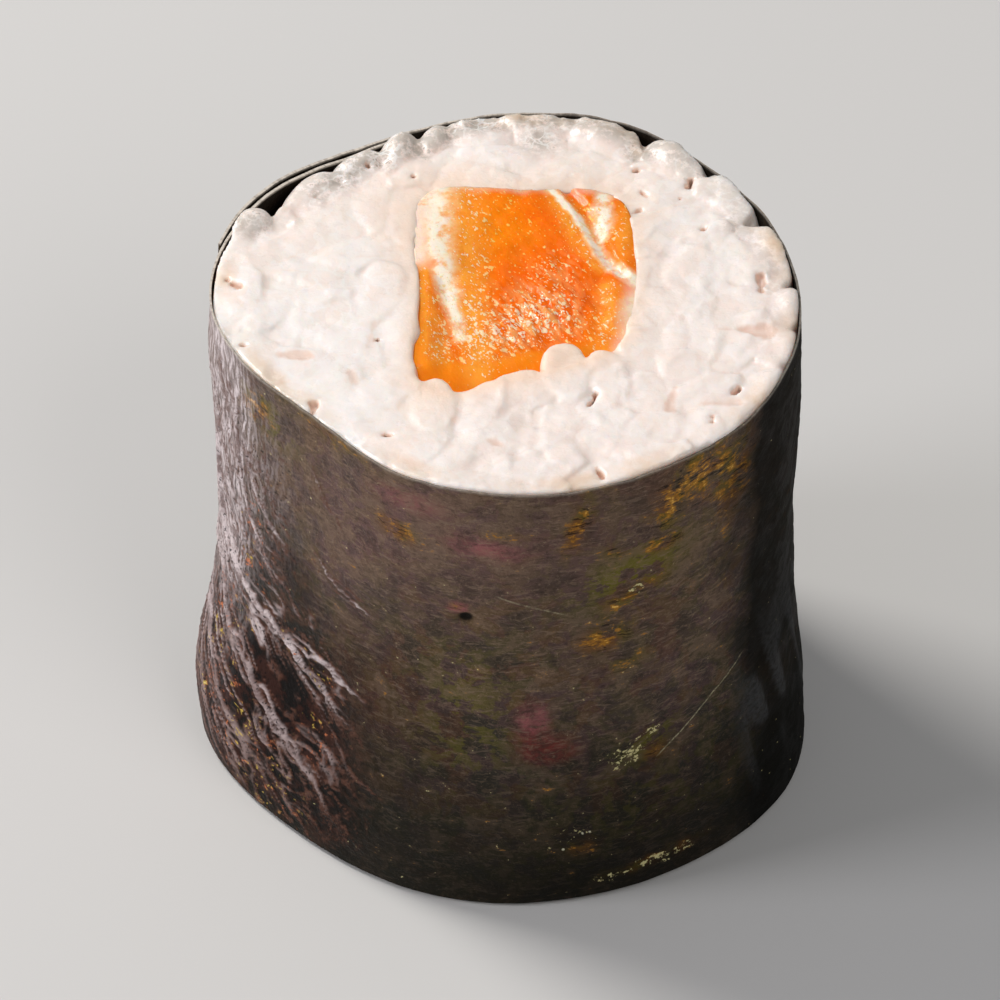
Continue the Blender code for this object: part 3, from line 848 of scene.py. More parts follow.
# the gaps between grains that show in the upper cut, wedges with a narrow and a wide end:
# (x, y, length, half widths at the two ends, direction, depth, how dark)
GAPS = (
    (-11.20, -4.25, 1.20, 0.25, 0.48, 0.0, 0.30, 0.55), (-10.05, -8.55, 0.80, 0.24, 0.40, 80.0, 0.45, 0.95),
    (-7.95, -6.10, 1.10, 0.12, 0.27, 110.0, 0.28, 0.45), (-7.00, -2.40, 2.30, 0.12, 0.25, 262.0, 0.16, 0.35),
    (-6.75, -3.00, 0.05, 0.15, 0.17, 0.0, 0.50, 1.00), (-6.50, -1.50, 0.80, 0.07, 0.12, 10.0, 0.14, 0.30),
    (-7.00, 3.75, 1.70, 0.07, 0.14, 5.0, 0.14, 0.35), (-2.65, -9.70, 0.50, 0.14, 0.24, 60.0, 0.16, 0.35),
    (-6.10, -10.70, 0.30, 0.15, 0.19, 170.0, 0.60, 1.00), (-13.80, -3.50, 0.30, 0.13, 0.17, 170.0, 0.50, 1.00),
    (-4.90, 10.35, 0.05, 0.19, 0.20, 0.0, 0.60, 1.00), (-7.40, 11.20, 0.05, 0.16, 0.17, 0.0, 0.55, 1.00),
    (-14.40, 1.60, 0.90, 0.14, 0.28, -40.0, 0.35, 0.85), (-0.50, -11.30, 0.60, 0.14, 0.28, 160.0, 0.22, 0.45),
    (4.56, -7.85, 1.00, 0.12, 0.18, 66.0, 0.80, 1.00), (8.75, -7.80, 1.60, 0.07, 0.40, 262.0, 0.32, 0.60),
    (11.10, -8.15, 2.00, 0.14, 0.36, 5.0, 0.22, 0.40), (12.10, -7.10, 0.50, 0.13, 0.19, 60.0, 0.70, 1.00),
    (10.80, -9.50, 0.35, 0.10, 0.13, 90.0, 0.45, 0.90), (12.95, -2.30, 1.40, 0.16, 0.66, -8.0, 0.32, 0.50),
    (11.60, -2.25, 1.50, 0.06, 0.11, 0.0, 0.16, 0.40), (13.50, 1.70, 1.10, 0.28, 0.42, 90.0, 0.40, 0.75),
    (10.50, 5.90, 0.10, 0.16, 0.20, 60.0, 0.45, 0.85), (9.80, 9.80, 0.55, 0.17, 0.22, 70.0, 0.80, 1.00),
    (9.30, 8.60, 0.05, 0.18, 0.20, 0.0, 0.80, 1.00), (7.00, 11.00, 0.05, 0.17, 0.19, 0.0, 0.70, 1.00),
    (7.30, 9.10, 0.70, 0.06, 0.10, 125.0, 0.30, 0.80), (6.95, 7.50, 0.40, 0.16, 0.24, 40.0, 0.30, 0.80),
    (9.50, -1.60, 1.30, 0.10, 0.20, 100.0, 0.10, 0.22), (4.90, -13.50, 0.90, 0.12, 0.17, 120.0, 0.60, 0.95),
    (1.60, -8.25, 0.60, 0.14, 0.20, 0.0, 0.10, 0.22), (6.40, -9.80, 2.00, 0.10, 0.22, 60.0, 0.11, 0.22),
)

# where the outermost rice is clearer, with the sheet showing through, and darker with painted shade from the wrap:
# (degrees, span, how much)
TANNED = (
    (209.0, 16.0, 0.75), (249.0, 6.0, 0.7), (290.0, 16.0, 0.9), (328.0, 7.0, 0.8), (172.0, 5.0, 0.7),
    (352.0, 6.0, 0.6), (16.0, 8.0, 0.9), (84.0, 6.0, 0.9), (66.0, 7.0, 0.6),
)

# grains that lie at set places:
# (x, y, direction, tilt, length, width, top over the cut, and where the knife took it off)
SET_GRAINS = (
    (-3.75, -8.35, 86.0, 0.0, 4.9, 2.70, 0.50, 0.02),
    (-1.25, -8.45, 72.0, 0.0, 5.2, 2.35, 0.50, 0.00),
    (0.95, -6.60, 6.0, 0.0, 3.3, 2.80, 0.50, 0.01),
    (3.20, -5.65, 98.0, 1.0, 5.3, 2.75, 0.55, 0.05),
    (5.45, -6.05, 100.0, 0.0, 4.8, 2.20, 0.50, 0.02),
    (-6.70, 1.20, 78.0, 0.0, 5.2, 2.90, 0.40, -0.055),
    (-13.9, 6.60, 24.0, 6.0, 3.2, 2.20, 0.34, 0.60),
    (-10.4, 9.30, 52.0, 6.0, 4.2, 2.40, 0.06, 0.60),
    (-7.9, 11.4, 44.0, 8.0, 3.4, 2.00, 0.14, 0.60),
    (-5.8, 12.5, 76.0, 12.0, 4.0, 2.20, 0.20, 0.60),
    (-3.9, 13.5, 70.0, 8.0, 3.0, 1.70, 0.16, 0.60),
    (-1.2, 13.9, 176.0, 3.0, 4.6, 2.40, 0.06, 0.60),
    (2.0, 14.2, 8.0, 4.0, 3.6, 2.30, 0.00, 0.60),
    (5.2, 13.7, 160.0, 5.0, 4.8, 2.60, 0.16, 0.60),
    (9.1, 11.9, 124.0, 8.0, 4.6, 3.10, 0.14, 0.60),
    (12.1, 9.00, 124.0, 8.0, 4.6, 3.00, 0.14, 0.60),
    (14.2, 4.3, 110.0, 8.0, 4.8, 2.80, 0.12, 0.60),
    (15.0, -0.2, 92.0, 5.0, 3.6, 2.40, 0.10, 0.60),
    (14.6, -3.5, 78.0, 5.0, 3.6, 2.40, 0.08, 0.60),
    (13.4, -6.9, 62.0, 4.0, 4.6, 2.40, 0.06, 0.60),
)


def notched(angle):
    return sum(size * lobe(angle, at, sharp) for at, size, sharp in NOTCHES)


def rice_edge(angle):
    """Radius of the rice at its upper rim."""
    return rice_limit(angle, HEIGHT) + NORI_THICK - VISIBLE_THICK + 0.03 - notched(angle)


def lumpy(angle):
    """1 where whole grains stand at the rim, at the back and the right, 0 elsewhere."""
    return ease((np.cos(np.radians(angle - 50.0)) - 0.02) / 0.25)


def pack_grains(seed, count, placed):
    """Grains in the rice's upper layers: centres, directions, sizes and cut planes.

    Each grain is three balls in a row. They start at random and push one another
    apart until they sit between the salmon, the wrap and the cut.
    """
    rng = np.random.default_rng(seed)
    spots = []
    while len(spots) < count:
        r = 15.2 * math.sqrt(rng.random())
        a = 360.0 * rng.random()
        x, y = r * math.cos(math.radians(a)), r * math.sin(math.radians(a))
        inside = float(salmon_share(np.array(x), np.array(y)))
        if inside < 1.12 or r > float(rice_edge(np.array(a))) - 0.9:
            continue
        spots.append((x, y, HEIGHT - 0.7 - 2.4 * rng.random()))
    spots = np.array(spots)
    way = rng.normal(size=(count, 3)) * np.array([1.0, 1.0, 0.60])
    way /= np.linalg.norm(way, axis=1)[:, None]
    size = np.column_stack([
        GRAIN_LONG * rng.uniform(0.82, 1.10, count),
        GRAIN_WIDE * rng.uniform(0.90, 1.08, count),
        GRAIN_THICK * rng.uniform(0.90, 1.08, count),
    ])
    cut = HEIGHT + rng.uniform(-0.16, -0.04, count)
    fixed = np.zeros(count, bool)
    if placed:
        p = np.array(SET_GRAINS)
        turn, tilt = np.radians(p[:, 2]), np.radians(p[:, 3])
        extra_way = np.column_stack([np.cos(turn) * np.cos(tilt), np.sin(turn) * np.cos(tilt), np.sin(tilt)])
        thick = p[:, 5] * 0.92
        extra = np.column_stack([p[:, 0], p[:, 1], HEIGHT + p[:, 6] - 0.5 * thick])
        spots = np.concatenate([extra, spots])
        way = np.concatenate([extra_way, way])
        size = np.concatenate([np.column_stack([p[:, 4], p[:, 5], thick]), size])
        cut = np.concatenate([HEIGHT + p[:, 7], cut])
        fixed = np.concatenate([np.ones(len(p), bool), fixed])
    total = len(spots)
    owner = np.repeat(np.arange(total), 3)
    along = np.tile([-0.31, 0.0, 0.31], total)
    ball = np.repeat(size[:, 1] * 0.5, 3) * np.tile([0.86, 1.0, 0.86], total)
    free = ~np.repeat(fixed, 3)
    for step in range(150):
        balls = spots[owner] + way[owner] * (along * np.repeat(size[:, 0], 3))[:, None]
        gap = balls[:, None, :] - balls[None, :, :]
        far = np.sqrt((gap**2).sum(-1)) + 1e-9
        want = (ball[:, None] + ball[None, :]) * 0.90
        push = np.where(owner[:, None] == owner[None, :], 0.0, np.clip(want - far, 0.0, None))
        move = (gap / far[..., None] * push[..., None]).sum(1) * 0.34
        x, y, z = balls.T
        radius, angle = np.hypot(x, y), np.degrees(np.arctan2(y, x)) % 360.0
        over = np.clip(radius + 0.50 * ball - rice_edge(angle), 0.0, None)
        move[:, 0] -= over * x / radius * 0.6
        move[:, 1] -= over * y / radius * 0.6
        share = salmon_share(x, y)
        dx, dy = x - SALMON_CENTRE[0], y - SALMON_CENTRE[1]
        reach = np.hypot(dx, dy) + 1e-9
        over = np.clip(0.80 * ball - (share - 1.0) * reach / share, 0.0, None)
        move[:, 0] += over * dx / reach * 0.6
        move[:, 1] += over * dy / reach * 0.6
        top = np.repeat(cut, 3) - 0.35
        move[:, 2] -= np.clip(z - top, 0.0, None) * 0.6
        move[:, 2] += np.clip(HEIGHT - 3.2 - z, 0.0, None) * 0.6
        move[:, 2] += 0.008
        balls = balls + move * free[:, None]
        three = balls.reshape(total, 3, 3)
        new_way = three[:, 2] - three[:, 0]
        new_way /= np.linalg.norm(new_way, axis=1)[:, None]
        spots = np.where(fixed[:, None], spots, three.mean(1))
        way = np.where(fixed[:, None], way, new_way)
    roll = rng.uniform(0.0, math.pi, total)
    # the knife leaves each grain's cut face a little out of level
    tilt = rng.normal(size=(total, 2)) * 0.030
    return spots, way, size, cut, roll, tilt, fixed


def grain_frames(way, roll):
    """For each grain, its own three directions."""
    up = np.where(np.abs(way[:, 2:3]) > 0.9, np.array([[1.0, 0.0, 0.0]]), np.array([[0.0, 0.0, 1.0]]))
    side = np.cross(up, way)
    side /= np.linalg.norm(side, axis=1)[:, None]
    third = np.cross(way, side)
    c, s = np.cos(roll)[:, None], np.sin(roll)[:, None]
    return np.stack([way, side * c + third * s, third * c - side * s], 1)


def grain_distance(x, y, z, spot, frame, size, bend):
    """Roughly the distance to one grain, negative inside it."""
    p = np.stack([x - spot[0], y - spot[1], z - spot[2]], -1)
    q = p @ frame.T
    q[..., 2] += 0.040 * (q[..., 0] ** 2 - 2.0) * bend
    half = size * 0.5
    scaled = np.abs(q / half) + 1e-9
    n = 2.35
    k0 = (scaled**n).sum(-1) ** (1.0 / n)
    k1 = np.sqrt(((scaled ** (n - 1) / half / k0[..., None] ** (n - 1)) ** 2).sum(-1)) + 1e-9
    return (k0 - 1.0) / k1


def packed_field(grains, step, low, high, blend):
    """Distance to the stuck-together grains on a lattice, negative inside them."""
    spots, way, size, cut, roll, tilt, fixed = grains
    frames = grain_frames(way, roll)
    shape = np.ceil((np.array(high) - np.array(low)) / step).astype(int) + 1
    axes = [low[i] + step * np.arange(shape[i]) for i in range(3)]
    total = np.zeros(shape)
    for g in range(len(spots)):
        reach = 0.5 * size[g, 0] + 0.9
        span = [slice(max(0, int((spots[g, i] - reach - low[i]) / step)),
                      min(shape[i], int((spots[g, i] + reach - low[i]) / step) + 2)) for i in range(3)]
        if any(s.start >= s.stop for s in span):
            continue
        gx, gy, gz = np.meshgrid(*[axes[i][span[i]] for i in range(3)], indexing="ij")
        # neighbours squeeze each grain a little out of its own shape
        wobble = 0.09 * noise(gx / 1.3, gy / 1.3, gz / 1.3 + 7.0 * g, seed=111)
        d = grain_distance(gx, gy, gz, spots[g], frames[g], size[g], math.sin(5.1 * g)) + wobble
        plane = gz - cut[g] - tilt[g, 0] * (gx - spots[g, 0]) - tilt[g, 1] * (gy - spots[g, 1])
        d = soft_max(d, plane, 0.08)
        total[tuple(span)] += np.exp(-blend * np.clip(d, -3.0, 3.0))
    return -np.log(np.maximum(total, 1e-6)) / blend, axes


def cut_face(x, y, grains, seed=5):
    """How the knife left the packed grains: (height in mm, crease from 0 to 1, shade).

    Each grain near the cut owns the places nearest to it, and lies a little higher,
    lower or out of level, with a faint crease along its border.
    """
    spots, way, size, cut, roll, tilt, fixed = grains
    near = spots[:, 2] > HEIGHT - 1.75
    spots, way, size = spots[near], way[near], size[near]
    rng = np.random.default_rng(seed)
    count = len(spots)
    lift = rng.uniform(-0.032, 0.032, count)
    lean = rng.normal(size=(count, 2)) * 0.030
    shade = rng.random(count)
    sx = x + 0.22 * fractal(x / 1.3, y / 1.3, 1.0, seed=131, octaves=3)
    sy = y + 0.22 * fractal(x / 1.3, y / 1.3, 5.0, seed=134, octaves=3)
    best = np.full(x.shape, 1e9)
    second = np.full(x.shape, 1e9)
    total, height, tone = np.zeros(x.shape), np.zeros(x.shape), np.zeros(x.shape)
    for g in range(count):
        flat = math.hypot(way[g, 0], way[g, 1]) + 1e-6
        c, s = way[g, 0] / flat, way[g, 1] / flat
        half = 0.5 * (size[g, 0] * flat + size[g, 1] * (1.0 - flat)), 0.5 * size[g, 1]
        dx, dy = sx - spots[g, 0], sy - spots[g, 1]
        far = np.hypot((dx * c + dy * s) / half[0], (dy * c - dx * s) / half[1]) * math.sqrt(half[0] * half[1])
        second = np.minimum(second, np.maximum(best, far))
        best = np.minimum(best, far)
        weight = np.exp(-22.0 * np.clip(far, 0.0, 6.0))
        total += weight
        swell = 0.03 * (1.0 - np.clip(far, 0.0, 1.6) ** 2)
        height += weight * (lift[g] + lean[g, 0] * dx + lean[g, 1] * dy + swell)
        tone += weight * shade[g]
    crease = np.exp(-(((second - best) / 0.10) ** 2))
    total = np.maximum(total, 1e-30)
    return np.clip(height / total, -0.12, 0.12), crease, tone / total


def facets(x, y, size, seed):
    """Small nearly flat patches, each a little higher, lower or out of level."""
    x = x + 0.20 * size * fractal(x / size, y / size, 3.0, seed=seed + 1, octaves=2)
    y = y + 0.20 * size * fractal(x / size, y / size, 8.0, seed=seed + 2, octaves=2)
    u, v = 0.80 * x / size, y / size
    i, j = np.floor(u).astype(np.int64), np.floor(v).astype(np.int64)
    total, height = np.zeros(np.shape(x)), np.zeros(np.shape(x))
    for di in (-1, 0, 1):
        for dj in (-1, 0, 1):
            ci, cj = i + di, j + dj
            chance = [lattice(ci, cj, np.full_like(ci, k), seed) for k in range(5)]
            du, dv = u - ci - 0.5 - 0.40 * chance[0], v - cj - 0.5 - 0.40 * chance[1]
            weight = np.exp(-20.0 * np.hypot(du, dv))
            total += weight
            height += weight * (0.5 * chance[2] + chance[3] * du + chance[4] * dv)
    return height / total


def gap_field(x, y, z, ragged):
    """(distance to the carved gaps, how dark each place in them is)."""
    nearest = np.full(np.broadcast(x, y, z).shape, 9.0)
    dark = np.zeros(nearest.shape)
    below = np.minimum(z - HEIGHT, 0.0)
    for gx, gy, length, narrow, wide, turn, depth, tone in GAPS:
        c, s = math.cos(math.radians(turn)), math.sin(math.radians(turn))
        u, v = (x - gx) * c + (y - gy) * s, (y - gy) * c - (x - gx) * s
        along = np.clip(u, -length / 2.0, length / 2.0)
        small = 0.66 if tone > 0.7 else 0.95
        half = small * (narrow + (wide - narrow) * (along / length + 0.5))
        across = np.maximum(np.hypot(u - along, v) + ragged, 0.0)
        d = np.hypot(across, below * (half / (depth if tone > 0.7 else 0.26 * depth))) - half
        nearest = np.minimum(nearest, d)
        dark = np.maximum(dark, tone * np.clip(0.6 - d / (0.16 if tone > 0.7 else 0.40), 0.0, 1.0))
    return nearest, dark


def surface_nets(field, low, step):
    """A closed mesh of quads round the part of the lattice that is below zero."""
    nx, ny, nz = field.shape
    inside = field < 0.0
    corners = [(a, b, c) for a in (0, 1) for b in (0, 1) for c in (0, 1)]
    count = sum(inside[a:nx - 1 + a, b:ny - 1 + b, c:nz - 1 + c].astype(np.int8) for a, b, c in corners)
    active = (count > 0) & (count < 8)
    cells = np.argwhere(active)
    index = np.full(active.shape, -1, np.int64)
    index[active] = np.arange(len(cells))
    value = {c: field[cells[:, 0] + c[0], cells[:, 1] + c[1], cells[:, 2] + c[2]] for c in corners}
    places, hits = np.zeros((len(cells), 3)), np.zeros(len(cells))
    for a in corners:
        for axis in range(3):
            if a[axis]:
                continue
            b = list(a)
            b[axis] = 1
            va, vb = value[a], value[tuple(b)]
            crossed = (va < 0.0) != (vb < 0.0)
            t = np.where(crossed, va / np.where(crossed, va - vb, 1.0), 0.0)
            spot = np.array(a, float)[None, :].repeat(len(cells), 0)
            spot[:, axis] += t
            places += spot * crossed[:, None]
            hits += crossed
    points = np.array(low) + step * (cells + places / hits[:, None])
    quads = []
    for axis in range(3):
        b, c = (axis + 1) % 3, (axis + 2) % 3
        first = [slice(1, -1)] * 3
        second = [slice(1, -1)] * 3
        first[axis], second[axis] = slice(0, -1), slice(1, None)
        f0, f1 = inside[tuple(first)], inside[tuple(second)]
        for change, flip in ((f0 & ~f1, False), (~f0 & f1, True)):
            spot = np.argwhere(change)
            spot[:, b] += 1
            spot[:, c] += 1
            ring = []
            for db, dc in ((-1, -1), (0, -1), (0, 0), (-1, 0)):
                at = spot.copy()
                at[:, b] += db
                at[:, c] += dc
                ring.append(index[at[:, 0], at[:, 1], at[:, 2]])
            ring = np.stack(ring, -1)
            quads.append(ring[:, ::-1] if flip else ring)
    return points, np.concatenate(quads)


def smoothed(points, quads, rounds, share=0.5):
    """The points, or numbers at them, moved towards the middle of their neighbours."""
    ends = np.concatenate([quads[:, i] for i in range(4)])
    others = np.concatenate([quads[:, (i + 1) % 4] for i in range(4)])
    count = len(points)
    hits = np.bincount(ends, minlength=count) + np.bincount(others, minlength=count)
    flat = points.reshape(count, -1)
    for _ in range(rounds):
        total = np.stack([
            np.bincount(ends, flat[others, k], count) + np.bincount(others, flat[ends, k], count)
            for k in range(flat.shape[1])
        ], -1)
        flat = flat + share * (total / hits[:, None] - flat)
    return flat.reshape(points.shape)


def packed_rice(grains, step, under):
    """The rice of the upper cut: a level mass, with whole grains at its rims."""
    low, high = [-17.1, -17.1, HEIGHT - under - 0.5], [17.1, 17.1, HEIGHT + 1.3]
    field, axes = packed_field(grains, step, low, high, 14.0)
    gx, gy, gz = np.meshgrid(*axes, indexing="ij")
    flat_x, flat_y = gx[:, :, :1], gy[:, :, :1]
    angle = np.degrees(np.arctan2(flat_y, flat_x)) % 360.0
    radius = np.hypot(flat_x, flat_y)
    share = salmon_share(flat_x, flat_y)
    edge = rice_edge(angle)
    height, crease, _ = cut_face(flat_x, flat_y, grains)
    clear = ease(0.5 + 1.5 * noise(flat_x / 2.6, flat_y / 2.6, 2.0, seed=102))
    clear = clear * (0.50 + 0.50 * ease((flat_x + 5.0) / 5.0)) + 1.1 * lumpy(angle) * ease((radius - edge + 3.2) / 1.4)
    top = HEIGHT - 0.02 + height - 0.045 * crease * clear + 0.022 * fractal(flat_x / 1.6, flat_y / 1.6, seed=101, octaves=3, fall=0.6)
    # clearer, rougher grain ends at the back rim
    crystal = np.clip(ease((np.cos(np.radians(angle - 105.0)) - 0.35) / 0.4), 0.0, 1.0) * ease((radius - edge + 2.2) / 1.2)
    top = top + 0.20 * crystal * fractal(flat_x / 0.55, flat_y / 0.55, seed=107, octaves=2)
    mass = soft_max(radius - edge, gz - top, 0.16 + 0.10 * lumpy(angle))
    mass = soft_max(mass, (1.0 - share) * 6.0 - 0.12, 0.12)
    k = 14.0
    field = -np.log(np.exp(-k * np.clip(field, -2, 2)) + np.exp(-k * np.clip(mass, -2, 2))) / k
    ragged = 0.16 * fractal(flat_x / 0.45, flat_y / 0.45, seed=105, octaves=2)
    carved, dark = gap_field(flat_x, flat_y, gz, ragged)
    field = soft_max(field, -carved, 0.06)
    # held in by the wrap; over its rim the grains may lean out a little
    wall = rice_limit(angle, HEIGHT) + NORI_THICK - VISIBLE_THICK + 0.04
    wall = wall + 0.20 * ease((gz - rim_height(angle) + 0.10) / 0.20)
    field = soft_max(field, radius - wall, 0.10)
    field = np.maximum(field, (HEIGHT - under) - gz)
    # the salmon's own room: nothing reaches far into it, except over its edge
    inside = (1.0 - share) * 6.0
    field = np.where(gz < HEIGHT - SALMON_RECESS - 0.3, np.maximum(field, inside - 0.5), field)
    points, quads = surface_nets(field, low, step)
    points = smoothed(points, quads, 1, 0.30)
    ragged = 0.16 * fractal(points[:, 0] / 0.45, points[:, 1] / 0.45, seed=105, octaves=2)
    carved, dark = gap_field(points[:, 0], points[:, 1], points[:, 2], ragged)
    return points, quads, dark


def rice_piece():
    grains = pack_grains(11, 116, True)
    points, quads, dark = packed_rice(grains, 0.145, 2.2)
    x, y, z = points.T
    angle, radius = np.degrees(np.arctan2(y, x)) % 360.0, np.hypot(x, y)
    # a fine unevenness that the grains' skins have
    upward = ease((z - HEIGHT + 1.6) / 0.6)
    broken = 0.55 + 0.45 * ease((x + 6.0) / 6.0)
    points[:, 2] += 0.022 * fractal(x / 0.8, y / 0.8, z / 0.8, seed=120, octaves=3) * upward
    points[:, 2] += (0.060 * facets(x, y, 1.25, 150) + 0.028 * facets(x, y, 0.62, 160)) * broken * upward
    piece = new_piece("rice_packed", to_world(points), quads)
    _, crease, tone = cut_face(x, y, grains)
    set_numbers(piece, "tone", tone)
    set_numbers(piece, "crease", crease * (0.4 + 0.6 * ease((x + 5.0) / 5.0)))
    # the outer ends of the grains at the back rim are grey and clear
    rim = rice_edge(angle)
    back = ease((np.cos(np.radians(angle - 96.0)) - 0.55) / 0.30) + 0.55 * lobe(angle, 20.0, 8.0)
    clear = np.clip(back, 0.0, 1.0) * ease((radius - rim + 2.3) / 1.5)
    clear = np.maximum(clear, np.exp(-(((x + 13.9) / 1.7) ** 2) - (((y - 6.6) / 1.2) ** 2)))
    clear = np.maximum(clear, 0.9 * np.exp(-(((x - 1.7) / 1.3) ** 2) - (((y - 13.4) / 1.3) ** 2)))
    set_numbers(piece, "clear", clear)
    tan = sum(size * np.exp(-((((angle - at + 180.0) % 360.0 - 180.0) / span) ** 2)) for at, span, size in TANNED)
    set_numbers(piece, "tan", np.clip(tan, 0.0, 1.0) * ease((radius - rim + 1.5) / 0.9))
    # orange has soaked out of the fish, most at its left and back
    away = (salmon_share(x, y) - 1.0) * 6.2
    reach = 0.75 + 2.2 * np.exp(-(((x + 4.6) / 2.2) ** 2) - (((y - 6.6) / 3.6) ** 2)) + 0.5 * ease((y - 6.0) / 3.0)
    set_numbers(piece, "stain", np.exp(-np.clip(away, 0.0, 20.0) / reach))
    # how far each place lies below the surface round it, for painted shade in hollows and painted highlights on raised
    # ends
    mean = smoothed(points[:, 2], quads, 22, 0.5)
    set_numbers(piece, "low", np.clip((mean - points[:, 2]) / 0.14, 0.0, 1.0))
    # painted shade in the gaps carved between grains
    set_numbers(piece, "pit", dark)
    # the front and the right are a little rosier than the left and the back
    set_numbers(piece, "rosy", 0.55 + 0.45 * ease((x + 9.0) / 9.0) * ease((8.0 - y) / 8.0))
    return piece


def core_piece():
    """The rice between the two cuts, which the wrap and the salmon hide."""
    around = 180
    angle = np.arange(around) * 2.0
    levels = np.array([0.0, 0.0, 0.25, 1.0, 4.0, 9.0, 14.0, 19.0, 23.0, HEIGHT - 2.4, HEIGHT - 1.4, HEIGHT - 1.2])
    inset = np.array([2.2, 0.35, 0.12, 0.08, 0.08, 0.08, 0.08, 0.08, 0.08, 0.5, 1.1, 1.6])
    direction = np.radians(angle)
    rings = []
    for z, back in zip(levels, inset):
        radius = rice_limit(angle, np.full(around, z)) - back
        rings.append(np.column_stack([radius * np.cos(direction), radius * np.sin(direction), np.full(around, z)]))
    # the inside follows the salmon, a little within its skin
    edge = salmon_edge(direction)
    across, along = edge * np.cos(direction), edge * np.sin(direction)
    depth = salmon_depth(across, along > 0.0)
    for z in levels[::-1]:
        rings.append(np.column_stack([
            SALMON_CENTRE[0] + (SALMON_HALF[0] - 0.25) * across,
            SALMON_CENTRE[1] + (depth - 0.25) * along,
            np.full(around, z),
        ]))
    points = np.concatenate(rings)
    quads = []
    count = len(rings)
    i = np.arange(around)
    for k in range(count):
        a, b = k * around, ((k + 1) % count) * around
        quads.append(np.stack([a + i, a + (i + 1) % around, b + (i + 1) % around, b + i], -1))
    return points, np.concatenate(quads)


# =============================================================== the materials
class Shader:
    """A material's node tree, with short ways to add to it."""

    def __init__(self, name):
        self.material = bpy.data.materials.new(name)
        self.material.use_nodes = True
        self.tree = self.material.node_tree
        self.shader = self.tree.nodes["Principled BSDF"]
        self.output = self.tree.nodes["Material Output"]

    def node(self, kind, **settings):
        made = self.tree.nodes.new(kind)
        for key, value in settings.items():
            setattr(made, key, value)
        return made

    def link(self, source, target):
        self.tree.links.new(source, target)

    def put(self, socket, value):
        if isinstance(value, bpy.types.NodeSocket):
            self.link(value, socket)
        elif isinstance(value, (tuple, list)) and len(value) == 3 and socket.type == "RGBA":
            socket.default_value = (*value, 1.0)
        else:
            socket.default_value = value

    def number(self, name):
        return self.node("ShaderNodeAttribute", attribute_name=name).outputs["Fac"]

    def vector(self, name):
        return self.node("ShaderNodeAttribute", attribute_name=name).outputs["Vector"]

    def math(self, operation, a, b=None, c=None, clamp=False):
        made = self.node("ShaderNodeMath", operation=operation, use_clamp=clamp)
        for i, value in enumerate((a, b, c)):
            if value is not None:
                self.put(made.inputs[i], value)
        return made.outputs[0]

    def stretch(self, vector, scale, offset=(0.0, 0.0, 0.0)):
        made = self.node("ShaderNodeMapping")
        self.link(vector, made.inputs["Vector"])
        made.inputs["Scale"].default_value = scale
        made.inputs["Location"].default_value = offset
        return made.outputs[0]

    def noise(self, vector, scale, detail=4.0, roughness=0.55, distortion=0.0):
        made = self.node("ShaderNodeTexNoise")
        self.link(vector, made.inputs["Vector"])
        made.inputs["Scale"].default_value = scale
        made.inputs["Detail"].default_value = detail
        made.inputs["Roughness"].default_value = roughness
        made.inputs["Distortion"].default_value = distortion
        return made.outputs["Fac"]

    def warped(self, vector, scale, amount):
        """The place moved about by smooth noise, up to half of `amount` either way."""
        made = self.node("ShaderNodeTexNoise")
        self.link(vector, made.inputs["Vector"])
        made.inputs["Scale"].default_value = scale
        made.inputs["Detail"].default_value = 2.0
        shifted = self.node("ShaderNodeVectorMath", operation="MULTIPLY_ADD")
        self.link(made.outputs["Color"], shifted.inputs[0])
        shifted.inputs[1].default_value = (amount, amount, amount)
        self.link(vector, shifted.inputs[2])
        return shifted.outputs[0]

    def hairline(self, place, ends, half):
        """1 on a straight line from one end to the other, 0 off it."""
        x0, y0, x1, y1 = ends
        length, turn = math.hypot(x1 - x0, y1 - y0), math.atan2(y1 - y0, x1 - x0)
        moved = self.node("ShaderNodeMapping", vector_type="TEXTURE")
        self.link(place, moved.inputs["Vector"])
        moved.inputs["Location"].default_value = (x0, y0, 0.0)
        moved.inputs["Rotation"].default_value = (0.0, 0.0, turn)
        parts = self.node("ShaderNodeSeparateXYZ")
        self.link(moved.outputs[0], parts.inputs[0])
        off = self.ramp(self.math("ABSOLUTE", parts.outputs[1]), half, half * 0.4)
        start = self.ramp(parts.outputs[0], 0.0, 0.12 * length)
        stop = self.ramp(parts.outputs[0], length, 0.88 * length)
        return self.math("MULTIPLY", off, self.math("MULTIPLY", start, stop))

    def cells(self, vector, scale, feature="F1", output="Distance"):
        made = self.node("ShaderNodeTexVoronoi", feature=feature)
        self.link(vector, made.inputs["Vector"])
        made.inputs["Scale"].default_value = scale
        return made.outputs[output]

    def ramp(self, value, low, high, to_low=0.0, to_high=1.0, smooth=True):
        made = self.node("ShaderNodeMapRange", interpolation_type="SMOOTHSTEP" if smooth else "LINEAR")
        self.put(made.inputs["Value"], value)
        made.inputs["From Min"].default_value = low
        made.inputs["From Max"].default_value = high
        made.inputs["To Min"].default_value = to_low
        made.inputs["To Max"].default_value = to_high
        return made.outputs["Result"]

    def mix(self, share, a, b, blend="MIX"):
        made = self.node("ShaderNodeMix", data_type="RGBA", blend_type=blend)
        self.put(made.inputs[0], share)
        self.put(made.inputs[6], a)
        self.put(made.inputs[7], b)
        return made.outputs[2]

    def mix_numbers(self, share, a, b):
        made = self.node("ShaderNodeMix", data_type="FLOAT")
        self.put(made.inputs[0], share)
        self.put(made.inputs[2], a)
        self.put(made.inputs[3], b)
        return made.outputs[0]

    def bump(self, height, distance, strength=1.0, onto=None):
        made = self.node("ShaderNodeBump")
        self.put(made.inputs["Height"], height)
        made.inputs["Distance"].default_value = distance
        made.inputs["Strength"].default_value = strength
        if onto is not None:
            self.link(onto, made.inputs["Normal"])
        return made.outputs["Normal"]


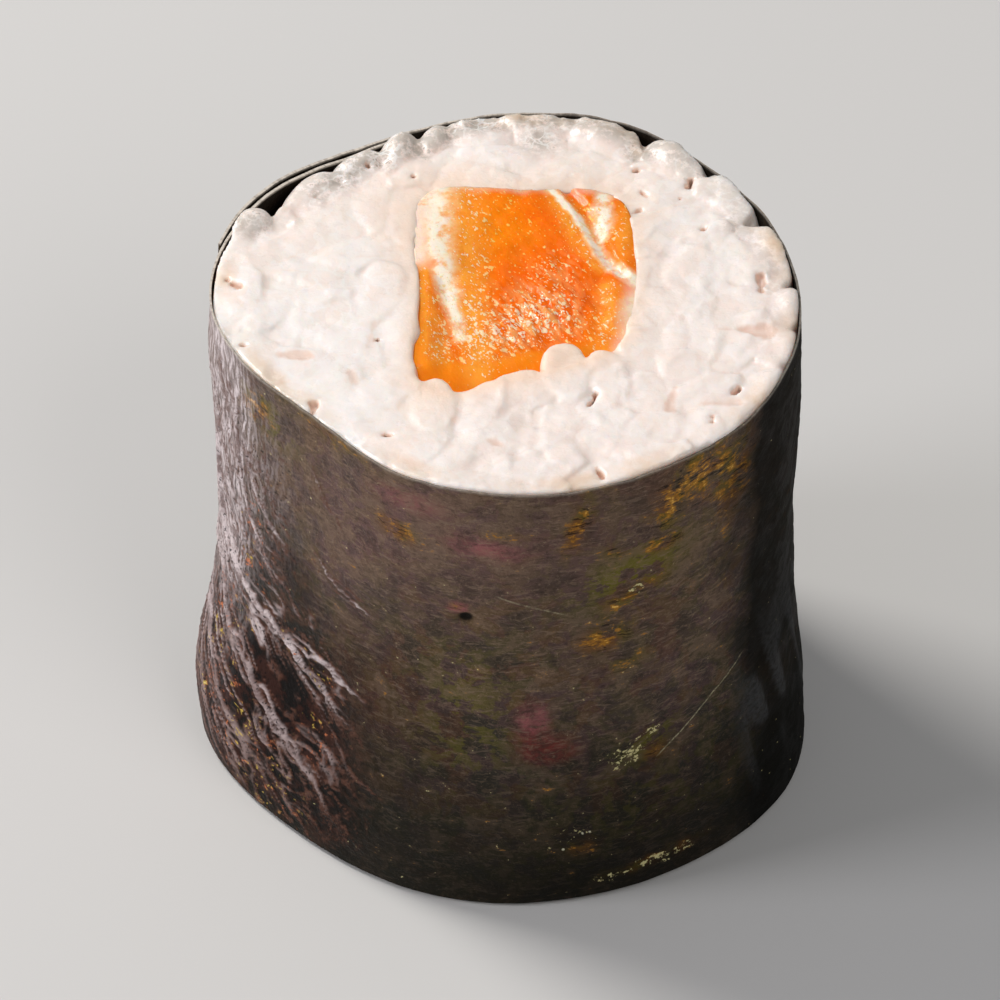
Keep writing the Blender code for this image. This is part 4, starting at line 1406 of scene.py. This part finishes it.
def nori_material():
    m = Shader("nori_look")
    sheet = m.vector("sheet")            # mm along the sheet, mm up
    number = {name: m.number(name) for name in (
        "crease", "web", "ember", "gold", "olive", "red", "rust", "plum", "painted_sheen", "shade", "fleck", "hole", "slip",
        "inner", "rim")}
    parts = m.node("ShaderNodeSeparateXYZ")
    m.link(sheet, parts.inputs[0])
    along, up = parts.outputs[0], parts.outputs[1]

    flow = m.warped(sheet, 0.35, 1.3)
    family = m.noise(m.stretch(flow, (1.0, 1.0, 1.0), (31.0, 4.0, 0.0)), 0.30, 4.0, 0.60)
    tint = m.noise(m.stretch(flow, (1.0, 1.0, 1.0), (71.0, 14.0, 0.0)), 0.45, 4.0, 0.60)
    blot = m.noise(m.stretch(flow, (0.9, 1.1, 1.0), (5.0, 8.0, 0.0)), 0.70, 4.0, 0.62)
    spot = m.noise(m.stretch(flow, (0.9, 1.2, 1.0), (15.0, 2.0, 0.0)), 1.7, 4.0, 0.62)
    grit = m.noise(m.stretch(sheet, (1.0, 1.2, 1.0), (9.0, 4.0, 0.0)), 3.6, 3.0, 0.66)
    vein = m.math("ABSOLUTE", m.math("SUBTRACT", m.noise(m.stretch(flow, (0.9, 1.3, 1.0), (2.0, 21.0, 0.0)), 0.85, 4.0, 0.60), 0.5))
    vein = m.ramp(vein, 0.020, 0.004)
    # short fibres, that lie nearly level in the front and stand upright at the left
    fibre = m.noise(m.stretch(m.warped(sheet, 0.7, 0.7), (0.70, 3.4, 1.0), (3.0, 7.0, 0.0)), 1.5, 3.0, 0.62)
    upright = m.noise(m.stretch(flow, (3.6, 0.70, 1.0), (13.0, 5.0, 0.0)), 1.1, 4.0, 0.62)

    # wet seaweed in patches of green black, plum grey, brown and rust
    base = m.mix(m.ramp(family, 0.46, 0.51), (0.0430, 0.0370, 0.0225), (0.0760, 0.0475, 0.0430))
    base = m.mix(m.ramp(tint, 0.54, 0.58), base, (0.0860, 0.0450, 0.0265))
    base = m.mix(m.ramp(tint, 0.44, 0.40, 0.0, 0.85), base, (0.0390, 0.0375, 0.0270))
    # painted light: the wall lighter towards the top, where the light from above falls
    base = m.mix(m.ramp(up, 12.0, 26.0, 0.0, 0.60), base, (0.1400, 0.0830, 0.0630))
    base = m.mix(m.math("MULTIPLY", number["plum"], 0.60), base, (0.1500, 0.0840, 0.0800))
    base = m.mix(m.math("MULTIPLY", number["rust"], 0.70), base, (0.0900, 0.0340, 0.0200))
    olive = m.math("MULTIPLY", m.math("ADD", number["olive"], 0.18), m.ramp(blot, 0.47, 0.53))
    base = m.mix(m.math("MULTIPLY", olive, 0.85), base, (0.1350, 0.1180, 0.0180))
    # painted shade: darker towards the foot
    base = m.mix(m.ramp(up, 10.0, 1.0, 0.0, 0.72), base, (0.0200, 0.0185, 0.0105))
    red = m.math("MULTIPLY", m.ramp(number["red"], 0.02, 0.80), m.ramp(spot, 0.36, 0.56, 0.45, 1.00))
    base = m.mix(red, base, m.mix(m.ramp(up, 10.8, 12.4), (0.1900, 0.0360, 0.0290), (0.3100, 0.1020, 0.1050)))
    # lighter and darker patches with clear borders, then spots, wrinkles and grains
    base = m.mix(m.ramp(blot, 0.54, 0.62, 0.0, 0.34), base, (0.2100, 0.1380, 0.1000))
    base = m.mix(m.ramp(blot, 0.46, 0.38, 0.0, 0.34), base, (0.0200, 0.0165, 0.0105))
    base = m.mix(m.ramp(spot, 0.56, 0.65, 0.0, 0.32), base, (0.2500, 0.1650, 0.1100))
    base = m.mix(m.ramp(spot, 0.43, 0.34, 0.0, 0.22), base, (0.0160, 0.0130, 0.0090))
    base = m.mix(m.ramp(fibre, 0.55, 0.66, 0.0, 0.40), base, (0.2500, 0.1750, 0.1250))
    base = m.mix(m.ramp(fibre, 0.43, 0.33, 0.0, 0.34), base, (0.0120, 0.0095, 0.0065))
    base = m.mix(m.math("MULTIPLY", vein, 0.24), base, (0.2200, 0.1550, 0.0950))
    base = m.mix(m.ramp(grit, 0.59, 0.70, 0.0, 0.38), base, (0.2800, 0.2000, 0.1400))
    base = m.mix(m.ramp(grit, 0.40, 0.30, 0.0, 0.34), base, (0.0080, 0.0065, 0.0050))
    # more painted shade towards the foot
    base = m.mix(m.ramp(up, 16.0, 2.0, 0.0, 0.76), base, (0.0085, 0.0075, 0.0050))

    # where the sheet is thin it glows in brown, with flakes of amber and gold
    tawny = m.mix(m.ramp(tint, 0.46, 0.54), (0.1450, 0.1000, 0.0110), (0.1800, 0.0740, 0.0120))
    glow = m.math("MULTIPLY", m.ramp(number["gold"], 0.04, 0.85), m.ramp(blot, 0.40, 0.56, 0.20, 0.85))
    base = m.mix(glow, base, tawny)
    flakes = m.mix_numbers(0.45, m.mix_numbers(0.5, spot, fibre), m.mix_numbers(0.45, blot, grit))
    thin = m.math("ADD", m.math("MULTIPLY", number["gold"], 0.120), flakes)
    base = m.mix(m.ramp(thin, 0.588, 0.640, 0.0, 0.80), base, (0.4000, 0.1750, 0.0190))
    base = m.mix(m.ramp(thin, 0.642, 0.695, 0.0, 0.92), base, (0.8200, 0.4700, 0.0950))
    specks = m.math("MULTIPLY", m.ramp(number["gold"], 0.10, 0.60), m.ramp(fibre, 0.43, 0.37))
    base = m.mix(m.math("MULTIPLY", specks, 0.75), base, (0.0120, 0.0080, 0.0050))
    base = m.mix(m.math("MINIMUM", m.math("MULTIPLY", number["shade"], 0.95), 0.95), base, (0.0045, 0.0044, 0.0034))
    # painted sheen: bluish grey on the slipped folds at the lower right
    base = m.mix(m.math("MULTIPLY", number["slip"], m.ramp(grit, 0.35, 0.60, 0.25, 0.70)), base, (0.0560, 0.0580, 0.0600))

    # the painted sheen and the creases of the left side, over red-brown hollows darkened with painted shade, most lower
    # down
    web = m.math("MULTIPLY", number["web"], m.ramp(up, 22.0, 10.0, 0.25, 0.88))
    base = m.mix(web, base, m.mix(m.ramp(blot, 0.48, 0.60), (0.0045, 0.0030, 0.0027), (0.0340, 0.0125, 0.0088)))
    # painted sheen: the pale lavender of the left side, painted into the colour
    painted_sheen_mask = m.math("MULTIPLY", number["painted_sheen"], m.ramp(upright, 0.38, 0.58, 0.35, 1.0))
    base = m.mix(painted_sheen_mask, base, m.mix(m.ramp(upright, 0.46, 0.64), (0.330, 0.270, 0.262), (0.640, 0.560, 0.560)))
    crease = number["crease"]
    brown = m.math("MULTIPLY", m.ramp(crease, 0.05, 0.25), m.ramp(spot, 0.44, 0.56, 0.1, 0.75))
    base = m.mix(brown, base, (0.105, 0.044, 0.028))
    # the creases are painted pale, partly a pale bloom and partly a painted highlight, which fades lower down
    pale = m.mix(m.ramp(blot, 0.40, 0.58), (0.240, 0.175, 0.165), (0.620, 0.535, 0.530))
    pale = m.mix(m.ramp(up, 16.0, 6.0, 0.0, 0.60), pale, (0.270, 0.200, 0.190))
    pale = m.mix(m.ramp(up, 8.0, 2.0, 0.0, 0.65), pale, (0.165, 0.098, 0.080))
    base = m.mix(m.ramp(crease, 0.19, 0.95, 0.0, 0.97), base, pale)
    # sparks of orange, red and yellow between and on the creases
    lit = m.math("MULTIPLY", m.ramp(number["ember"], 0.08, 0.60), m.ramp(m.mix_numbers(0.45, spot, grit), 0.570, 0.610))
    spark = m.mix(m.ramp(tint, 0.50, 0.56), (0.500, 0.150, 0.060), (0.500, 0.360, 0.070))
    base = m.mix(m.math("MULTIPLY", lit, 0.90), base, spark)
    # painted shade: near black specks between the creases, as in small pits
    pit_shade = m.math("MULTIPLY", number["web"], m.ramp(grit, 0.42, 0.36))
    base = m.mix(m.math("MULTIPLY", pit_shade, 0.85), base, (0.0060, 0.0040, 0.0035))

    # a long fine scratch at the lower right, and a short one higher up
    bent = m.warped(sheet, 0.5, 0.20)
    for ends, strength in (((58.0, 12.3, 51.4, 8.2), 0.75), ((42.4, 21.6, 46.6, 19.8), 0.45)):
        line = m.hairline(bent, ends, 0.070)
        line = m.math("MULTIPLY", line, m.ramp(grit, 0.40, 0.58, 0.25, 1.0))
        base = m.mix(m.math("MULTIPLY", line, strength), base, (0.42, 0.38, 0.24))
    # crowded pale flecks in a few places, with painted glints along the foot
    pale = m.math("ADD", m.math("MULTIPLY", number["fleck"], 0.150), m.mix_numbers(0.55, spot, grit))
    base = m.mix(m.ramp(pale, 0.640, 0.690, 0.0, 0.90), base, (0.6600, 0.6000, 0.3000))
    # bright points where the wet sheet glints
    for scale, low, more in ((0.75, 0.93, 0.20), (1.5, 0.975, 0.50)):
        colour = m.cells(flow, scale, output="Color")
        point = m.ramp(colour.node.outputs["Distance"], 0.13 * min(1.0, scale), 0.07 * min(1.0, scale))
        chance = m.math("ADD", colour, m.math("MULTIPLY", number["fleck"], more))
        glint = m.math("MULTIPLY", point, m.ramp(chance, low, low + 0.03))
        base = m.mix(m.math("MINIMUM", glint, 0.9), base, (0.62, 0.60, 0.44))
    # painted shade: near black in the small pit in the front
    base = m.mix(m.ramp(number["hole"], 0.25, 0.7, 0.0, 0.97), base, (0.004, 0.003, 0.002))
    # painted shade: the inner face of the sheet, in shadow over the rice, near black
    base = m.mix(m.math("MULTIPLY", number["inner"], 0.94), base, (0.0060, 0.0052, 0.0040))
    base = m.mix(m.math("MULTIPLY", number["rim"], m.ramp(grit, 0.35, 0.60, 0.60, 1.00)), base, (0.660, 0.600, 0.520))
    m.put(m.shader.inputs["Base Color"], base)

    rough = m.math("SUBTRACT", m.ramp(blot, 0.40, 0.60, 0.32, 0.52), m.math("MULTIPLY", crease, 0.08))
    rough = m.math("ADD", rough, m.math("MULTIPLY", m.math("MINIMUM", number["shade"], 1.0), 0.38))
    rough = m.math("SUBTRACT", rough, m.math("MULTIPLY", number["web"], m.ramp(up, 18.0, 10.0, 0.0, 0.12)))
    m.put(m.shader.inputs["Roughness"], rough)
    m.shader.inputs["Specular IOR Level"].default_value = 0.08

    normal = m.bump(blot, 0.00016, 0.8)
    normal = m.bump(grit, 0.00006, 0.8, normal)
    m.put(m.shader.inputs["Normal"], normal)
    return m.material


def rice_material():
    m = Shader("rice_look")
    place = m.node("ShaderNodeTexCoord").outputs["Object"]
    number = {name: m.number(name) for name in ("tone", "crease", "clear", "tan", "stain", "low", "pit", "rosy")}
    broad = m.noise(place, 150.0, 3.0, 0.5)
    soft = m.noise(place, 420.0, 4.0, 0.60)
    skin = m.noise(place, 1000.0, 4.0, 0.62)
    fine = m.noise(place, 2800.0, 3.0, 0.6)
    # flat facets with clear borders, as on cut and broken grains
    bent = m.warped(place, 900.0, 0.0009)
    facet = m.cells(bent, 780.0, output="Color")
    small = m.cells(bent, 1500.0, output="Color")
    edges = m.ramp(m.cells(bent, 780.0, "DISTANCE_TO_EDGE"), 0.075, 0.015)
    # each grain a little warmer, greener or bluer white than the next
    white = m.mix(m.ramp(number["tone"], 0.15, 0.50), (0.965, 0.845, 0.775), (0.930, 0.880, 0.810))
    white = m.mix(m.ramp(number["tone"], 0.55, 0.85), white, (0.955, 0.910, 0.880))
    white = m.mix(m.ramp(broad, 0.40, 0.62, 0.0, 0.45), white, (0.970, 0.850, 0.790))
    white = m.mix(m.ramp(soft, 0.50, 0.68, 0.0, 0.5), white, (0.985, 0.945, 0.905))
    white = m.mix(m.ramp(soft, 0.42, 0.30, 0.0, 0.5), white, (0.900, 0.825, 0.745))
    white = m.mix(m.ramp(facet, 0.55, 0.62, 0.0, 0.45), white, (0.990, 0.955, 0.935))
    white = m.mix(m.ramp(facet, 0.30, 0.24, 0.0, 0.42), white, (0.890, 0.800, 0.735))
    white = m.mix(m.ramp(small, 0.70, 0.76, 0.0, 0.30), white, (0.990, 0.960, 0.950))
    white = m.mix(m.ramp(small, 0.22, 0.16, 0.0, 0.30), white, (0.900, 0.790, 0.730))
    white = m.mix(m.math("MULTIPLY", edges, m.ramp(broad, 0.42, 0.60, 0.0, 0.38)), white, (0.995, 0.975, 0.950))
    white = m.mix(m.math("MULTIPLY", number["rosy"], 0.52), white, (0.990, 0.810, 0.745))
    white = m.mix(m.math("MULTIPLY", number["stain"], 0.72), white, (0.985, 0.690, 0.520))
    crumbs = m.noise(place, 1700.0, 3.0, 0.68)
    glassy = m.math("MULTIPLY", number["clear"], m.ramp(crumbs, 0.36, 0.54, 0.22, 1.0))
    white = m.mix(m.math("MULTIPLY", glassy, 0.90), white, (0.455, 0.405, 0.345))
    white = m.mix(m.math("MULTIPLY", number["clear"], m.ramp(crumbs, 0.38, 0.31, 0.0, 0.8)), white, (0.330, 0.275, 0.215))
    cracks = m.ramp(m.cells(m.warped(place, 1400.0, 0.0008), 1250.0, "DISTANCE_TO_EDGE"), 0.090, 0.030)
    cracks = m.math("MULTIPLY", cracks, m.ramp(soft, 0.44, 0.60, 0.05, 0.60))
    white = m.mix(m.math("MULTIPLY", number["clear"], cracks), white, (0.985, 0.970, 0.945))
    # painted highlight: the raised clear grain ends lighter
    bright = m.math("MULTIPLY", number["clear"], m.ramp(number["low"], 0.02, 0.0, 0.0, 0.18))
    white = m.mix(bright, white, (0.98, 0.95, 0.91))
    # tan at the outer rice: the sheet showing through, and painted shade from the wrap
    tan = m.math("MULTIPLY", number["tan"], m.ramp(soft, 0.34, 0.60, 0.15, 0.90))
    white = m.mix(tan, white, (0.790, 0.580, 0.400))
    # painted shade: darker tan in the creases between grains and in hollows
    painted_crease_shade = m.math("MAXIMUM", m.math("MULTIPLY", number["crease"], m.ramp(broad, 0.44, 0.58, 0.06, 0.34)), m.math("MULTIPLY", number["low"], 0.30))
    white = m.mix(painted_crease_shade, white, (0.820, 0.650, 0.560))
    # painted shade in the gaps between grains, tan to dark brown
    white = m.mix(m.ramp(number["pit"], 0.10, 0.50, 0.0, 0.62), white, (0.800, 0.560, 0.430))
    white = m.mix(m.ramp(number["pit"], 0.60, 1.00, 0.0, 0.90), white, (0.230, 0.115, 0.070))
    m.put(m.shader.inputs["Base Color"], white)
    m.shader.inputs["Subsurface Weight"].default_value = 0.55
    m.shader.inputs["Subsurface Radius"].default_value = (1.0, 0.80, 0.66)
    m.shader.inputs["Subsurface Scale"].default_value = 0.0009
    m.put(m.shader.inputs["Roughness"], m.ramp(skin, 0.3, 0.7, 0.26, 0.46))
    m.shader.inputs["Specular IOR Level"].default_value = 0.45
    m.shader.inputs["Coat Weight"].default_value = 0.18
    m.shader.inputs["Coat Roughness"].default_value = 0.12
    normal = m.bump(soft, 0.00009, 0.6)
    normal = m.bump(skin, 0.00007, 0.8, normal)
    normal = m.bump(fine, 0.00002, 0.7, normal)
    m.put(m.shader.inputs["Normal"], normal)
    return m.material


def salmon_material():
    m = Shader("salmon_look")
    flesh = m.vector("flesh")            # mm
    number = {name: m.number(name) for name in ("cream", "peach", "grain", "wet", "warm", "deep", "edge")}
    turned = m.node("ShaderNodeMapping")
    m.link(flesh, turned.inputs["Vector"])
    turned.inputs["Rotation"].default_value = (0.0, 0.0, math.radians(62.0))
    along = turned.outputs[0]
    cloud = m.noise(m.stretch(flesh, (1.0, 1.0, 0.15)), 0.40, 4.0, 0.55)
    mottle = m.noise(m.stretch(flesh, (1.0, 1.0, 0.15), (8.0, 2.0, 0.0)), 1.5, 4.0, 0.62)
    threads = m.noise(m.stretch(along, (1.2, 2.6, 0.3)), 1.0, 3.0, 0.55, 0.5)
    # painted glints, with pale flecks of fat and muscle ends, crowded in the front half and along the fat
    large = m.noise(m.stretch(along, (1.7, 2.7, 0.3)), 1.6, 1.0, 0.5, 0.2)
    little = m.noise(m.stretch(along, (1.8, 2.6, 0.3), (5.0, 9.0, 0.0)), 2.7, 1.0, 0.5, 0.2)
    dry = m.math("SUBTRACT", 1.0, m.math("MULTIPLY", number["wet"], 0.80))
    border = m.math("MULTIPLY", m.ramp(number["peach"], 0.02, 0.45), m.ramp(number["cream"], 0.50, 0.05))
    crowd = m.math("ADD", m.math("MULTIPLY", number["grain"], 0.110), m.math("MULTIPLY", border, 0.040))
    crowd = m.math("ADD", crowd, m.ramp(cloud, 0.42, 0.62, 0.0, 0.040))
    crowd = m.math("SUBTRACT", crowd, m.math("MULTIPLY", number["wet"], 0.05))
    dots = m.math("MAXIMUM", m.ramp(m.math("ADD", large, crowd), 0.705, 0.745), m.ramp(m.math("ADD", little, crowd), 0.695, 0.740))

    base = m.mix(m.ramp(cloud, 0.36, 0.66), (0.93, 0.142, 0.0008), (0.96, 0.192, 0.0010))
    base = m.mix(m.math("MULTIPLY", number["warm"], 0.75), base, (0.98, 0.262, 0.0008))
    base = m.mix(m.math("MULTIPLY", number["deep"], 0.75), base, (0.95, 0.128, 0.0008))
    base = m.mix(m.math("MULTIPLY", number["wet"], 0.85), base, (0.99, 0.275, 0.0080))
    # paler flesh between the muscle ends of the front half, with deep orange gaps
    pale = m.math("MULTIPLY", m.math("MULTIPLY", m.ramp(threads, 0.42, 0.62), number["grain"]), dry)
    base = m.mix(m.math("MULTIPLY", pale, 0.66), base, (0.965, 0.450, 0.145))
    gaps = m.math("MULTIPLY", m.math("MULTIPLY", m.ramp(threads, 0.44, 0.30), number["grain"]), dry)
    base = m.mix(m.math("MULTIPLY", gaps, 0.55), base, (0.86, 0.120, 0.002))
    # fat: peach where it is thin, cream where it is thick
    peach = m.math("MULTIPLY", number["peach"], m.ramp(mottle, 0.30, 0.62, 0.50, 1.0))
    base = m.mix(m.math("MULTIPLY", peach, 0.92), base, (0.985, 0.355, 0.036))
    cream = m.math("MULTIPLY", number["cream"], m.ramp(mottle, 0.28, 0.60, 0.55, 1.0))
    base = m.mix(m.ramp(cream, 0.15, 0.98, 0.0, 0.95, smooth=False), base, (0.995, 0.770, 0.480))
    base = m.mix(m.math("MULTIPLY", m.ramp(cream, 0.50, 1.0), 0.80), base, (1.000, 0.910, 0.790))
    # the dots' colour, for painted glints and pale flecks
    bright = m.mix(m.math("MAXIMUM", number["grain"], number["peach"]), (0.99, 0.560, 0.110), (0.99, 0.790, 0.540))
    base = m.mix(m.math("MULTIPLY", dots, 0.85), base, bright)
    fleck = m.math("MULTIPLY", m.math("MAXIMUM", cream, peach), m.ramp(mottle, 0.40, 0.28))
    base = m.mix(m.math("MULTIPLY", fleck, 0.50), base, (0.96, 0.40, 0.08))
    base = m.mix(m.math("MULTIPLY", number["edge"], 0.85), base, (0.985, 0.775, 0.640))
    m.put(m.shader.inputs["Base Color"], base)
    m.shader.inputs["Subsurface Weight"].default_value = 0.35
    m.shader.inputs["Subsurface Radius"].default_value = (1.0, 0.30, 0.06)
    m.shader.inputs["Subsurface Scale"].default_value = 0.0006
    m.put(m.shader.inputs["Roughness"], m.ramp(threads, 0.35, 0.65, 0.22, 0.34))
    m.shader.inputs["Specular IOR Level"].default_value = 0.12
    m.shader.inputs["Coat Weight"].default_value = 0.14
    m.shader.inputs["Coat Roughness"].default_value = 0.05
    normal = m.bump(dots, 0.00002, 0.8)
    normal = m.bump(mottle, 0.00008, 0.6, normal)
    m.put(m.shader.inputs["Normal"], normal)
    return m.material


# ============================================================= making the roll
nori = nori_piece()
nori.data.materials.append(nori_material())
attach(nori, "root")
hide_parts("nori")

rice_look = rice_material()
rice = rice_piece()
rice.data.materials.append(rice_look)
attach(rice, "root")
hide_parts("rice")

core_points, core_quads = core_piece()
core = new_piece("rice_core", to_world(core_points), core_quads)
core.data.materials.append(rice_look)
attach(core, "root")
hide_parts("rice")

salmon = salmon_piece()
salmon.data.materials.append(salmon_material())
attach(salmon, "root")
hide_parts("salmon")

# =================================================== floor, light and the view
floor_mesh = bpy.data.meshes.new("floor")
reach = 1.2
floor_mesh.from_pydata(
    [(-reach, -reach, -0.0002), (reach, -reach, -0.0002), (reach, reach, -0.0002), (-reach, reach, -0.0002)],
    [],
    [(0, 1, 2, 3)],
)
floor = bpy.data.objects.new("floor", floor_mesh)
bpy.context.scene.collection.objects.link(floor)
floor_look = Shader("floor_look")
floor_look.shader.inputs["Base Color"].default_value = (0.63, 0.625, 0.61, 1.0)
floor_look.shader.inputs["Roughness"].default_value = 0.75
floor_look.shader.inputs["Specular IOR Level"].default_value = 0.2
floor_mesh.materials.append(floor_look.material)

scene = bpy.context.scene
scene.view_settings.view_transform = "Standard"

world = bpy.data.worlds.new("studio")
world.use_nodes = True
world.node_tree.nodes["Background"].inputs["Color"].default_value = (0.93, 0.95, 1.0, 1.0)
world.node_tree.nodes["Background"].inputs["Strength"].default_value = 0.22
scene.world = world


def area_light(name, spot, aim, size, power, colour):
    data = bpy.data.lights.new(name, "AREA")
    data.shape = "DISK"
    data.size = size
    data.energy = power
    data.color = colour
    made = bpy.data.objects.new(name, data)
    made.location = spot
    made.rotation_euler = (Vector(aim) - Vector(spot)).to_track_quat("-Z", "Y").to_euler()
    scene.collection.objects.link(made)
    return made


area_light("key", (-0.34, 0.26, 0.50), (0.0, 0.0, 0.02), 0.22, 3.0, (1.0, 0.965, 0.93))
area_light("side", (-0.45, -0.10, 0.16), (0.0, 0.0, 0.014), 0.20, 1.3, (0.96, 0.95, 1.0))
area_light("fill", (0.26, -0.34, 0.42), (0.0, 0.0, 0.015), 0.34, 0.75, (1.0, 0.97, 0.95))

ELEVATION = 41.2
AWAY = 0.700              # metres from the camera to the upper cut
ACROSS = 0.0527           # metres that the frame takes in at that distance
data = bpy.data.cameras.new("camera")
data.sensor_width = 36.0
data.lens = 36.0 * AWAY / ACROSS
data.clip_start, data.clip_end = 0.01, 10.0
camera = bpy.data.objects.new("camera", data)
scene.collection.objects.link(camera)
e = math.radians(ELEVATION)
back = Vector((0.0, -math.cos(e), math.sin(e)))
# the frame's middle is the middle of the piece as it is seen
aim = Vector((0.0, 0.0, (HEIGHT - 14.0) * MM))
camera.location = aim + back * (AWAY + 0.010)
camera.rotation_euler = (-back).to_track_quat("-Z", "Y").to_euler()
scene.camera = camera
